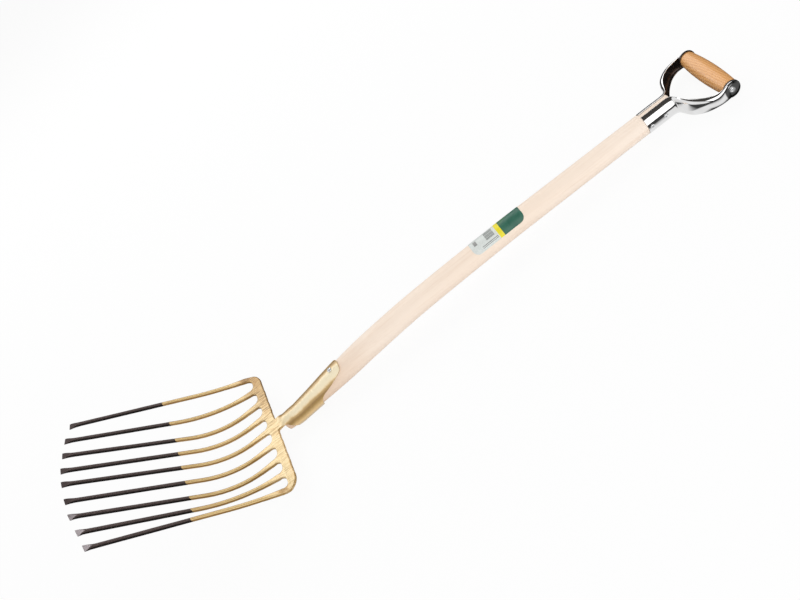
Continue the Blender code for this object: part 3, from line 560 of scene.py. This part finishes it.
def tineRing(point, along, total, offset, number, rootDeg):  # its points, and which are on the ground facet
    x, z, angle = point
    left = total - along
    rootThick = head["thick"] * cos(radians(rootDeg))
    (pastWidth, pastDepth), (swellWidth, swellDepth) = tine["pastRoot"], tine["swell"]
    widths = (head["rootWidth"], pastWidth, tine["width"] * swellWidth, tine["width"])
    depths = (rootThick, pastDepth, tine["depth"] * swellDepth, tine["depth"])
    width = easedAt(along, tine["rootStops"], widths, 0.003)
    depth = easedAt(along, tine["rootStops"], depths, 0.003)
    square = lineAt(along, tine["squareStops"], tine["square"])
    flare = lineAt(left / tine["tipLength"], tine["flareStops"], tine["flare"])
    inside = lineAt(along, *tine["inside"])  # the start is drawn in, inside the stub
    width = (width + flare * (tine["tipWidth"] - tine["width"])) * inside
    depth *= inside
    square += flare ** 3 * tine["tipSquare"]
    back = depth / 2 - flare * tine["tipThin"]
    toTip = max(0.0, 1 - left / tine["facet"])  # hollow ground, so the facet opens like a fan
    front = depth
    if toTip > 0:
        front = depth / 2 + 0.00005 - (depth / 2 + tine["facetCut"]) * toTip ** tine["facetCurve"]
    lean = tine["slants"][number] * max(0.0, 1 - left / tine["slantLength"])
    if number in (0, head["count"] - 1):
        offset -= copysign(tine["inset"] * flare, offset)
    rough = sum(deep * sin(along * waves + number * shift) for deep, waves, shift in tine["beaten"])
    ring, ground = [], []
    for k in range(tine["sides"]):
        turn = 2 * pi * (k + 0.5) / tine["sides"]
        c, s = cos(turn), sin(turn)
        across = (width / 2 + rough * (1 - flare)) * copysign(abs(c) ** (2 / square), c)
        up = (depth / 2 if s > 0 else back) * copysign(abs(s) ** (2 / square), s)
        ground.append(up > front)
        up = min(up, front)
        short = abs(lean) / 2 - lean * across / tine["tipWidth"]
        ring.append((x + up * sin(angle) + short * cos(angle), offset + across,
                     z + up * cos(angle) - short * sin(angle)))
    return ring, ground


def buildTine(number):
    offset = ((head["count"] - 1) / 2 - number) * head["pitch"]
    form = tineForms[min(round(abs(offset) / head["pitch"]), len(tineForms) - 1)]
    points = tinePath(form, tine["extra"][number])
    steps = [hypot(b[0] - a[0], b[1] - a[1]) for a, b in zip(points[:-1], points[1:])]
    lengths = [sum(steps[:k]) for k in range(len(points))]
    made = [tineRing(point, along, lengths[-1], offset, number, form[0])
            for point, along in zip(points, lengths)]
    bm = bmesh.new()
    loftRings(bm, [ring for ring, _ in made], [ground for _, ground in made])
    finishPiece(f"tineForm_{number + 1}", bm, [forged, groundSteel],
                [f"tine_{number + 1}"], smoothDeg=32)


shaftForm = {"x": (0.0300, 0.2190, 0.2650, 0.3100, 0.3530, 0.3940, 0.4360, 0.4770, 0.5300, 0.8500),
             "z": (-0.0429, -0.0155, -0.0107, -0.0068, -0.0046, -0.0031, -0.0019, -0.0010, 0.0, 0.0),
             "radiusX": (0.0300, 0.0330, 0.0400, 0.0520, 0.0600, 0.0944, 0.1300, 0.1600, 0.1850, 0.2200,
                         0.5000, 0.7955),
             "radius": (0.0112, 0.0121, 0.0127, 0.0135, 0.0146, 0.0160, 0.0183, 0.0199, 0.0207, 0.0210,
                        0.0195, 0.0181),
             "straightTo": 0.042, "bendEase": 0.012, "roundFrom": 0.04, "roundTo": 0.78, "roundEase": 0.006,
             "tenonX": 0.7952, "tenonEnd": 0.8500, "tenonRadius": 0.0171, "sides": 72}


def shaftZ(x):
    if x < shaftForm["straightTo"]:  # its end runs on straight inside the socket
        (startX, nextX), (startZ, nextZ) = shaftForm["x"][:2], shaftForm["z"][:2]
        return startZ + (x - startX) * (nextZ - startZ) / (nextX - startX)
    return easedAt(x, shaftForm["x"], shaftForm["z"], shaftForm["bendEase"])


def shaftSlope(x):
    return atan((shaftZ(x + 0.001) - shaftZ(x - 0.001)) / 0.002)


def shaftRadius(x):
    if x < shaftForm["roundFrom"] or x > shaftForm["roundTo"]:
        return lineAt(x, shaftForm["radiusX"], shaftForm["radius"])
    return easedAt(x, shaftForm["radiusX"], shaftForm["radius"], shaftForm["roundEase"])


def onShaft(x, angle, lift):  # point over the shaft, by the angle from its front line
    slope = shaftSlope(max(x, shaftForm["x"][0]))
    radius = shaftRadius(x) + lift
    up = radius * cos(angle)
    return (x - up * sin(slope), radius * sin(angle), shaftZ(x) + up * cos(slope))


socket = {"deg": (0, 8, 16, 23, 30, 38, 44, 50, 56.5, 63, 67.7, 72, 78, 86, 95, 110, 125, 139, 150, 160),
          "topX": (0.1706, 0.1704, 0.1699, 0.1692, 0.1683, 0.1665, 0.1636, 0.1567, 0.1472, 0.1377,
                   0.1268, 0.1182, 0.1135, 0.1098, 0.1070, 0.1046, 0.1029, 0.1016, 0.1006, 0.1000),
          "farTopX": (0.1706, 0.1703, 0.1693, 0.1677, 0.1655, 0.1618, 0.1580, 0.1530, 0.1472, 0.1377,
                      0.1268, 0.1182, 0.1135, 0.1098, 0.1070, 0.1046, 0.1029, 0.1016, 0.1006, 0.1000),
          "openDeg": (23, 38, 50, 60, 80, 95, 110, 125, 139, 150, 160),
          "open": (0.0, 0.0060, 0.0100, 0.0130, 0.0165, 0.0200, 0.0225, 0.0245, 0.0265, 0.0302, 0.0382),
          "neckX": (0.0215, 0.0250, 0.0336, 0.0450, 0.0523, 0.0600),
          "radius": (0.0320, 0.0240, 0.0158, 0.0172, 0.0176, 0.0177),
          "front": (-0.0275, -0.0262, -0.0230, -0.0218, -0.0213, -0.02085), "joinX": 0.0600,
          "wallX": (0.0205, 0.034, 0.060), "wall": (0.0054, 0.0040, 0.0028), "sheet": 0.0028, "gap": 0.0003,
          "archX": (0.0200, 0.0235, 0.0290, 0.0340), "arch": (0.0, 0.12, 0.75, 1.0),
          "rootX": 0.0190, "rootDeg": 23, "sunk": 0.00025, "startX": 0.0218, "leanLength": 0.038,
          "endDeg": 160, "rows": 72, "rim": 0.0004}


def socketPoint(x, angle, depth):
    slope = shaftSlope(max(x, 0.05))
    if x >= socket["joinX"]:
        radius = shaftRadius(x) + socket["gap"] + socket["sheet"]
        centre = shaftZ(x)
    else:
        radius = easedAt(x, socket["neckX"], socket["radius"], 0.002)
        centre = easedAt(x, socket["neckX"], socket["front"], 0.002) - radius
    lean = min(1.0, max(0.0, (x - socket["startX"]) / socket["leanLength"])) * slope
    wall = lineAt(x, socket["wallX"], socket["wall"]) * depth
    arched = lineAt(x, socket["archX"], socket["arch"])  # it leaves the plate flat
    sunk = lineAt(x, (socket["rootX"], 0.0208), (socket["sunk"], 0.0))  # and starts just inside it
    drop = (1 - cos(angle)) * arched
    up = radius - sunk - radius * drop - wall * (1 - drop)
    across = (radius - wall * arched) * sin(angle) * (1 - sunk * 60)
    return (x - up * sin(lean), across, centre + up * cos(lean))


def buildSocket():
    angles = [0.0]
    while angles[-1] < socket["endDeg"]:
        step = 2.5 if 36 <= angles[-1] < 80 else 4.5  # closer where the front edges curve
        angles.append(min(angles[-1] + step, socket["endDeg"]))
    columns = [-angle for angle in reversed(angles[1:])] + angles
    lows = [socket["startX"] + easedAt(abs(degrees), socket["openDeg"], socket["open"], 3)
            if abs(degrees) >= socket["rootDeg"] else socket["rootX"] for degrees in columns]
    highs = [easedAt(abs(degrees), socket["deg"], socket["farTopX" if degrees > 0 else "topX"], 3)
             for degrees in columns]
    bm = bmesh.new()
    rings = []
    for row in range(socket["rows"] + 1):  # round the outer face and back along the inner one
        spots = [(low + (high - low) * row / socket["rows"], radians(degrees))
                 for low, high, degrees in zip(lows, highs, columns)]
        points = [socketPoint(*spot, 0) for spot in spots] + [socketPoint(*spot, 1) for spot in spots[::-1]]
        rings.append([bm.verts.new(point) for point in points])
    count = len(rings[0])
    for low, high in zip(rings[:-1], rings[1:]):
        for k in range(count):
            bm.faces.new((low[k], low[(k + 1) % count], high[(k + 1) % count], high[k]))
    for ring in (rings[0], rings[-1]):  # the sheet's edge at both ends
        for k in range(len(columns) - 1):
            bm.faces.new((ring[k], ring[k + 1], ring[count - 2 - k], ring[count - 1 - k]))
    bevelSharp(bm, 55, socket["rim"], 2)
    closeHoles(bm)
    for vert in bm.verts:  # the back is worn level where it lies on the floor
        vert.co.z -= min((toolMatrix @ vert.co).z, 0.0) * 1.002
    finishPiece("neckSocket", bm, [forged], ["neck_socket"], smoothDeg=50)


buildPlate()
for number in range(head["count"]):
    buildTine(number)
buildSocket()
print("forged head built")


# shaft, with its tenon between the halves of the yoke

def buildShaft():
    start, tenonX, endX = shaftForm["x"][0], shaftForm["tenonX"], shaftForm["tenonEnd"]
    tenon, rim = shaftForm["tenonRadius"], shaftRadius(shaftForm["tenonX"])
    spans = ((start, 0.066, 10), (0.075, 0.560, 70), (0.575, 0.7944, 20))
    stops = [x for span in spans for x in np.linspace(*span)]
    sizes = [(start - 0.0012, shaftRadius(start) - 0.0020), (start - 0.0007, shaftRadius(start) - 0.0008)]
    sizes += [(x, shaftRadius(x)) for x in stops]
    sizes += [(tenonX - 0.0003, rim - 0.0002), (tenonX, rim - 0.0006), (tenonX + 0.00005, tenon)]
    sizes += [(x, tenon) for x in np.linspace(tenonX + 0.002, endX - 0.002, 8)]
    sizes += [(endX - 0.0008, tenon - 0.0005), (endX - 0.0002, tenon - 0.0012), (endX, tenon - 0.0022)]
    turns = [2 * pi * k / shaftForm["sides"] for k in range(shaftForm["sides"])]
    bm = bmesh.new()
    loftRings(bm, [[onShaft(x, turn, radius - shaftRadius(x)) for turn in turns] for x, radius in sizes])
    finishPiece("ashShaft", bm, [ash], ["shaft"], smoothDeg=40)


buildShaft()
print("shaft built")


# socket screw with a cross recess

screw = {"x": 0.1520, "sideDeg": -6.0, "radius": 0.0042, "height": 0.0024, "slot": 0.0011,
         "slotLength": 0.0050, "slotDepth": 0.0016, "turnDeg": 20, "lift": 0.0001,
         "shank": ((0, -0.027), (0.0008, -0.0265), (0.0021, -0.022), (0.0021, 0.0), (0, 0.0))}


def buildScrew():
    bm = bmesh.new()
    spinInto(bm, screw["shank"], 24, Matrix.Identity(4))
    top = bmesh.new()
    bmesh.ops.create_grid(top, x_segments=44, y_segments=44, size=1.0)
    halfSlot, halfLength = screw["slot"] / 2, screw["slotLength"] / 2
    for vert in top.verts:  # square grid drawn out to a disc, domed, with two slots pressed in
        u, v = vert.co.x, vert.co.y
        x, y = u * sqrt(1 - v * v / 2), v * sqrt(1 - u * u / 2)
        z = screw["height"] * (0.25 + 0.75 * sqrt(max(0.0, 1 - x * x - y * y)))
        x, y = x * screw["radius"], y * screw["radius"]
        inSlot = min(abs(x), abs(y)) < halfSlot and max(abs(x), abs(y)) < halfLength
        vert.co = (x, y, z - (screw["slotDepth"] if inSlot else 0))
    rim = [edge for edge in top.edges if edge.is_boundary]
    skirt = bmesh.ops.extrude_edge_only(top, edges=rim)
    for item in skirt["geom"]:
        if isinstance(item, bmesh.types.BMVert):
            item.co.z = 0.0
    closeHoles(top)
    addMesh(bm, top)
    side = radians(screw["sideDeg"])
    seat = Vector(onShaft(screw["x"], side, socket["gap"] + socket["sheet"] + screw["lift"]))
    outward = (seat - Vector(onShaft(screw["x"], side, 0.0))).normalized()
    aim = outward.to_track_quat("Z", "Y").to_matrix().to_4x4()
    turn = Matrix.Rotation(radians(screw["turnDeg"]), 4, "Z")
    bmesh.ops.transform(bm, matrix=Matrix.Translation(seat) @ aim @ turn, verts=bm.verts)
    finishPiece("socketScrew", bm, [zinc], ["socket_screw"], smoothDeg=35)


buildScrew()
print("screw built")


# yoke: two pressed halves with channel arms and ear cups

yoke = {"sheet": 0.0013, "limitDeg": 76.0, "rollDeg": 13.5, "rim": 0.0004, "across": 36, "between": 7,
        "gripX": 0.9240, "earRadius": 0.0149, "earOuter": 0.0649, "earSheet": 0.0014, "earDepth": 0.0047,
        "earRound": 0.0013, "earDrop": 0.0009, "earLip": (0.0003, 0.0004), "earSteps": 72,
        # share of the ear's radius, and height against its outer face
        "earFace": ((0, -0.0004), (0.35, -0.0003), (0.60, 0.0), (0.70, -0.0001), (0.80, -0.0004))}
yokeRibs = [  # rim X, rim Y, crest X, crest Y, half width, squareness
    (0.7955, 0.00452, 0.7955, 0.01870, 0.01814, 0.0),
    (0.8138, 0.00452, 0.8138, 0.01870, 0.01814, 0.0),
    (0.8320, 0.00452, 0.8320, 0.01870, 0.01814, 0.0),
    (0.8444, 0.00482, 0.8435, 0.01880, 0.01814, 0.0),
    (0.8513, 0.00802, 0.8505, 0.01967, 0.01800, 0.2),
    (0.8561, 0.01652, 0.8530, 0.02480, 0.01779, 0.5),
    (0.8605, 0.02701, 0.8556, 0.03395, 0.01739, 0.8),
    (0.8668, 0.03851, 0.8608, 0.04503, 0.01630, 1.0),
    (0.8762, 0.04950, 0.8706, 0.05589, 0.01450, 1.0),
    (0.8876, 0.05820, 0.8832, 0.06470, 0.01240, 1.0),
    (0.9000, 0.06280, 0.8983, 0.06950, 0.01130, 1.0),
    (0.9100, 0.06400, 0.9100, 0.06850, 0.01180, 1.0),
    (0.9190, 0.06420, 0.9190, 0.06540, 0.01240, 1.0)]


def easedRibs():
    rows = [np.array(rib) for rib in yokeRibs]
    rows = [rows[0]] + rows + [rows[-1]]
    eased = []
    for before, low, high, after in zip(rows, rows[1:], rows[2:], rows[3:]):
        for t in np.arange(yoke["between"]) / yoke["between"]:
            eased.append(0.5 * (2 * low + (high - before) * t
                                + (2 * before - 5 * low + 4 * high - after) * t ** 2
                                + (3 * low - before - 3 * high + after) * t ** 3))
    return eased + [rows[-1]]


def pressSheet(bm, side):  # barrel half and arm as one bent sheet, dark on the inside: partly dull unplated metal, partly painted shade of the channel
    rows = easedRibs()
    bmesh.ops.create_grid(bm, x_segments=len(rows) - 1, y_segments=yoke["across"], size=1.0)
    for vert in bm.verts:
        rib = rows[round((vert.co.x + 1) / 2 * (len(rows) - 1))]
        rimX, rimY, crestX, crestY, half, square = rib
        limit = radians(yoke["limitDeg"] + yoke["rollDeg"] * square)
        angle = limit * vert.co.y
        power = 2 / (2 + 0.7 * square)  # round barrel, fuller arms that roll over to their rims
        foot = max(cos(limit), 0.0) ** power
        rise = (max(cos(angle), 0.0) ** power - foot) / (1 - foot)
        out = copysign(abs(sin(angle)) ** power, angle) / sin(limit) ** power
        vert.co = (rimX + (crestX - rimX) * rise, side * (rimY + (crestY - rimY) * rise), half * out)
    bmesh.ops.recalc_face_normals(bm, faces=bm.faces)
    if sum(face.normal.y * side for face in bm.faces) < 0:
        bmesh.ops.reverse_faces(bm, faces=bm.faces)
    outside = set(bm.faces)
    bmesh.ops.solidify(bm, geom=bm.faces[:], thickness=yoke["sheet"])
    for face in bm.faces:
        beside = any(near in outside for edge in face.edges for near in edge.link_faces)
        face.material_index = 0 if face in outside or beside else 1
    bevelSharp(bm, 60, yoke["rim"], 3)


def earProfile(rimY):
    outer, sheet, fillet, radius = yoke["earOuter"], yoke["earSheet"], yoke["earRound"], yoke["earRadius"]
    mouthY = outer - yoke["earDepth"]
    lipIn, lipUp = yoke["earLip"]
    profile = [(radius * share, outer + height) for share, height in yoke["earFace"]]
    profile.append((radius - fillet, rimY))
    for k in range(1, 9):
        angle = radians(90 * k / 8)
        profile.append((radius - fillet * (1 - sin(angle)), rimY - fillet * (1 - cos(angle))))
    return profile + [(radius, mouthY + lipUp), (radius - lipIn, mouthY), (radius - sheet + lipIn, mouthY),
                      (radius - sheet, mouthY + lipUp), (radius - sheet, rimY - sheet), (0, rimY - sheet)]


def buildYokeHalf(name, side, node):
    bm = bmesh.new()
    pressSheet(bm, side)
    rimY = yoke["earOuter"] - yoke["earDrop"]
    spinInto(bm, earProfile(rimY), yoke["earSteps"], acrossAt(yoke["gripX"], 0, side))
    mouthY, wallY = yoke["earOuter"] - yoke["earDepth"] - 0.0005, rimY - yoke["earRound"] * 0.7
    for face in bm.faces:  # the mouth and the wall of the ear cup get the same dark finish, as painted shade where the grip's end meets the cup
        middle = face.calc_center_median()
        fromAxis = hypot(middle.x - yoke["gripX"], middle.z)
        if fromAxis < yoke["earRadius"] + 0.0001 and mouthY < abs(middle.y) < wallY:
            face.material_index = 1
    finishPiece(name, bm, [chrome, darkInsideAndShade], [node], smoothDeg=38)


buildYokeHalf("yokeHalfLeft", 1.0, "yoke_left")
buildYokeHalf("yokeHalfRight", -1.0, "yoke_right")


# rivets through the yoke and the rod through the grip

rivet = {"reach": (0.8030, 0.8290), "radius": 0.0038, "height": 0.0021, "seat": 0.0188, "shank": 0.0020}
rod = {"radius": 0.0046, "height": 0.0022, "seat": 0.0651, "shank": 0.0028}


def dome(radius, height, steps=8):  # low round head on a short straight rim
    points = [(0.0, 0.0), (radius * 0.96, 0.0), (radius, height * 0.06)]
    for k in range(steps + 1):
        angle = radians(90 * k / steps)
        points.append((max(radius * cos(angle), 0), height * (0.2 + 0.8 * sin(angle))))
    return points


def buildPin(name, node, x, pin):
    bm = bmesh.new()
    shank, seat = pin["shank"], pin["seat"]
    for side in (1.0, -1.0):
        spinInto(bm, dome(pin["radius"], pin["height"]), 36, acrossAt(x, side * seat, side))
    spinInto(bm, [(0, -seat), (shank, -seat), (shank, seat), (0, seat)], 24, acrossAt(x, 0))
    finishPiece(name, bm, [zinc], [node], smoothDeg=35)


for k, node in enumerate(("yoke_rivet_lower", "yoke_rivet_upper")):
    buildPin(f"yokeRivet_{k + 1}", node, rivet["reach"][k], rivet)
buildPin("gripRod", "grip_rod", yoke["gripX"], rod)
print("yoke and pins built")


# turned grip

grip = {"half": 0.0620, "end": 0.0131, "middle": 0.0166, "chamfer": 0.0012, "bore": 0.0031, "rows": 32,
        "steps": 96}


def buildGrip():
    half, chamfer, end, bore = grip["half"], grip["chamfer"], grip["end"], grip["bore"]
    profile = [(bore, half), (end - chamfer, half), (end - chamfer * 0.4, half - chamfer * 0.25)]
    for k in range(grip["rows"] + 1):
        place = (half - chamfer) * (1 - 2 * k / grip["rows"])
        belly = 1 - (place / half) ** 2
        profile.append((end + (grip["middle"] - end) * belly, place))
    profile += [(end - chamfer * 0.4, -half + chamfer * 0.25), (end - chamfer, -half), (bore, -half)]
    profile.append(profile[0])
    bm = bmesh.new()
    spinInto(bm, profile, grip["steps"], acrossAt(yoke["gripX"], 0))
    finishPiece("turnedGrip", bm, [gripWood], ["grip"], body="grip", smoothDeg=35)


buildGrip()
print("grip built")


# label: its print is laid out in its own UV, in tenths of a metre along it and to each side of its middle

label = {"start": 0.4570, "end": 0.5570, "halfDeg": 64.0, "corner": 0.0110, "lift": 0.0003, "thick": 0.0002,
         "segments": (40, 48), "closer": 1.25}
labelPrint = {"paper": ((0.74, 0.775, 0.745), (0.66, 0.70, 0.675)), "fibreScale": 420,
              "green": ((0.018, 0.115, 0.075), (0.045, 0.17, 0.115)), "greenFrom": 0.58, "greenScale": 70,
              "leaf": (0.11, 0.26, 0.035), "leafSlope": 0.6, "leafShare": (-0.42, -0.26, 0, 0.55),
              "yellow": (0.86, 0.74, 0.02), "yellowFrom": 0.50,
              "barred": (0.29, 0.45, -0.10, 0.07), "barScale": 90, "barInk": (0.10, 0.105, 0.10),
              # blocks: along from, along to, across from, across to, share, ink
              "blocks": ((0.07, 0.13, -0.06, 0.04, 0.7, (0.13, 0.12, 0.12)),
                         (0.17, 0.485, -0.152, -0.142, 0.9, (0.10, 0.11, 0.11)),
                         (0.17, 0.485, -0.175, -0.167, 0.9, (0.10, 0.11, 0.11))),
              "roughness": (0.3, 0.7, 0.36, 0.5), "bump": (0.08, 0.0002)}


def makeLabelPaper():
    material, tree, shader = newMaterial("label_paper_print")
    uv = tree.nodes.new("ShaderNodeUVMap")
    uv.uv_map = "labelMap"
    along, across, _ = splitAt(uv.outputs["UV"])

    def inside(value, low, high):
        return times(mathAt("GREATER_THAN", value, low), mathAt("LESS_THAN", value, high))

    def block(alongLow, alongHigh, acrossLow, acrossHigh):
        return times(inside(along, alongLow, alongHigh), inside(across, acrossLow, acrossHigh))

    coords = toolCoords(tree)
    fibre = noiseAt(coords, labelPrint["fibreScale"], 3, 0.6)
    paper = mixTwo(fibre, 0.35, 0.65, labelPrint["paper"])
    green = mixTwo(noiseAt(coords, labelPrint["greenScale"]), 0.3, 0.7, labelPrint["green"])
    slant = minus(across, times(along, labelPrint["leafSlope"]))
    leafy = mixColour(mapTo(slant, *labelPrint["leafShare"]), green, labelPrint["leaf"])
    colour = mixColour(mathAt("GREATER_THAN", along, labelPrint["greenFrom"]), paper, leafy)
    yellowBand = inside(along, labelPrint["yellowFrom"], labelPrint["greenFrom"])
    colour = mixColour(yellowBand, colour, labelPrint["yellow"])
    bars = noiseAt(joinAt(X=across), labelPrint["barScale"], 1)
    bars = mapTo(mathAt("GREATER_THAN", bars, 0.5), 0, 1, 0.35, 0.85)
    colour = mixColour(times(block(*labelPrint["barred"]), bars), colour, labelPrint["barInk"])
    for *edges, share, ink in labelPrint["blocks"]:
        colour = mixColour(times(block(*edges), share), colour, ink)
    feed(shader, {"Base Color": colour, "Roughness": mapTo(fibre, *labelPrint["roughness"])})
    bumpAt(shader, fibre, *labelPrint["bump"])
    return material


def buildLabel():
    start, end, corner = label["start"], label["end"], label["corner"]
    widest = radians(label["halfDeg"])
    middle, half = (start + end) / 2, (end - start) / 2
    halfWidth = shaftRadius(middle) * widest
    bm = bmesh.new()
    bmesh.ops.create_grid(bm, x_segments=label["segments"][0], y_segments=label["segments"][1], size=1.0)
    layer = bm.loops.layers.uv.new("labelMap")
    spots = {}
    for vert in bm.verts:  # closer columns at the rounded corners
        v = copysign(1 - (1 - abs(vert.co.y)) ** label["closer"], vert.co.y)
        into = max(0.0, abs(v) * halfWidth - (halfWidth - corner))
        drop = corner - sqrt(max(corner ** 2 - into ** 2, 0))
        x = middle + vert.co.x * (half - drop)
        spots[vert.index] = ((x - start) * 10, v * halfWidth * 10)
        vert.co = onShaft(x, v * widest, label["lift"] + label["thick"])
    for face in bm.faces:
        for loop in face.loops:
            loop[layer].uv = spots[loop.vert.index]
    bmesh.ops.recalc_face_normals(bm, faces=bm.faces)
    if sum(face.normal.z for face in bm.faces) < 0:
        bmesh.ops.reverse_faces(bm, faces=bm.faces)
    bmesh.ops.solidify(bm, geom=bm.faces[:], thickness=label["thick"])
    finishPiece("shaftLabel", bm, [makeLabelPaper()], ["label"], smoothDeg=60)


buildLabel()
print("label built")


# floor, lamps, world and camera

floorPaper = {"size": 14.0, "z": -0.0005, "colour": (0.86, 0.86, 0.86, 1), "roughness": 0.9, "seen": 0.92,
              "yokeX": (0.510, 0.521, 0.066, 0), "besideTool": (0.092, 0.13, 0.86, 0.05),
              "underX": (0.540, 0.552, 0, 0.95), "underY": (0.070, 0.078, 1, 0),
              "pastSlope": 0.65, "past": (0.541, 0.545, 1, 0.10)}
lamps = {"farBox": {"place": (-0.1, 1.85, 1.50), "target": (0, 0, 0), "size": (3.4, 1.7), "power": 31},
         "nearBox": {"place": (0.65, -2.12, 1.28), "target": (0, 0, 0), "size": (2.5, 2.5), "power": 33}}
room = {"ambient": (0.55, 0.55, 0.55), "wall": (0.88, 0.88, 0.88), "wallX": (-0.40, -0.55, 0, 1),
        "wallZ": (-0.06, 0.02, 0, 1),
        "heights": ((0.0, (0.5, 0.5, 0.5)), (0.48, (0.04, 0.036, 0.036)), (0.60, (0.05, 0.045, 0.045)),
                    (0.75, (0.16, 0.155, 0.15)), (0.90, (0.08, 0.075, 0.07)), (1.0, (0.05, 0.046, 0.043)))}
view = {"place": (0.1918, -1.2426, 1.1031), "turnDeg": (40.2826, 33.4984, -23.8325), "lens": 44.991,
        "sensor": 36.0, "clip": 0.01}


def seenPlain(path):  # seen by the camera, straight or through glass
    return mathAt("MAXIMUM", path["Is Camera Ray"], path["Is Transmission Ray"])


def makeFloor():
    bm = bmesh.new()
    bmesh.ops.create_grid(bm, x_segments=8, y_segments=8, size=floorPaper["size"])
    mesh = bpy.data.meshes.new("floor")
    bm.to_mesh(mesh)
    bm.free()
    material, tree, shader = newMaterial("floor_paper")
    feed(shader, {"Base Color": floorPaper["colour"], "Roughness": floorPaper["roughness"]})
    path = tree.nodes.new("ShaderNodeLightPath").outputs
    along, across, _ = splitAt(addSource(tree, "TexCoord", "Object"))
    aside = mathAt("ABSOLUTE", across)
    # painted reflection: metal shows the paper glowing white beside the tool and darker far off, with
    # painted shadow under the yoke and darker past the grip
    sheet = plus(aside, mapTo(along, *floorPaper["yokeX"]))
    nearTool = mapTo(sheet, *floorPaper["besideTool"])
    paintedShadowUnderYoke = times(mapTo(along, *floorPaper["underX"]),
                  mapTo(aside, *floorPaper["underY"]))
    past = mapTo(minus(along, times(aside, floorPaper["pastSlope"])), *floorPaper["past"])
    nearTool = times(nearTool, times(past, minus(1, paintedShadowUnderYoke)))
    strength = mathAt("MAXIMUM", path["Is Camera Ray"], nearTool)
    glow = addNode("Emission", {"Color": (1, 1, 1, 1), "Strength": strength})
    share = mathAt("MAXIMUM", times(seenPlain(path), floorPaper["seen"]),
                   path["Is Glossy Ray"])
    mix = addNode("MixShader", {0: share, 1: shader.outputs["BSDF"],
                                2: glow.outputs["Emission"]})
    feed(tree.nodes["Material Output"], {"Surface": mix.outputs["Shader"]})
    mesh.materials.append(material)
    floor = addObject("floor", mesh)
    floor.location = (0, 0, floorPaper["z"])


def addLamp(name, values):
    data = bpy.data.lights.new(name, "AREA")
    data.shape = "RECTANGLE"
    data.size, data.size_y = values["size"]
    data.energy = values["power"]
    lamp = addObject(name, data)
    lamp.location = values["place"]
    aim = Vector(values["target"]) - Vector(values["place"])
    lamp.rotation_euler = aim.to_track_quat("-Z", "Y").to_euler()
    lamp.visible_camera = False


def setWorld():
    world = bpy.data.worlds.new("studio")
    bpy.context.scene.world = world
    world.use_nodes = True
    tree = world.node_tree
    path = tree.nodes.new("ShaderNodeLightPath").outputs
    toward = splitAt(addSource(tree, "TexCoord", "Generated"))
    # metal shows a dark room, with one bright wall past the tines
    walls = rampAt(mapTo(toward[2], -1, 1, 0, 1), room["heights"])
    bright = times(mapTo(toward[0], *room["wallX"]), mapTo(toward[2], *room["wallZ"]))
    walls = mixColour(bright, walls, room["wall"])
    light = mixColour(path["Is Glossy Ray"], room["ambient"], walls)
    light = mixColour(seenPlain(path), light, (1, 1, 1))
    feed(tree.nodes["Background"], {"Color": light, "Strength": 1.0})


def setCamera():
    camera = addObject("camera", bpy.data.cameras.new("camera"))
    camera.location = view["place"]
    camera.rotation_euler = [radians(angle) for angle in view["turnDeg"]]
    camera.data.lens = view["lens"]
    camera.data.sensor_width = view["sensor"]
    camera.data.clip_start = view["clip"]
    bpy.context.scene.camera = camera


makeFloor()
for name, values in lamps.items():
    addLamp(name, values)
setWorld()
setCamera()
bpy.context.scene.view_settings.view_transform = "Standard"
print("studio ready")
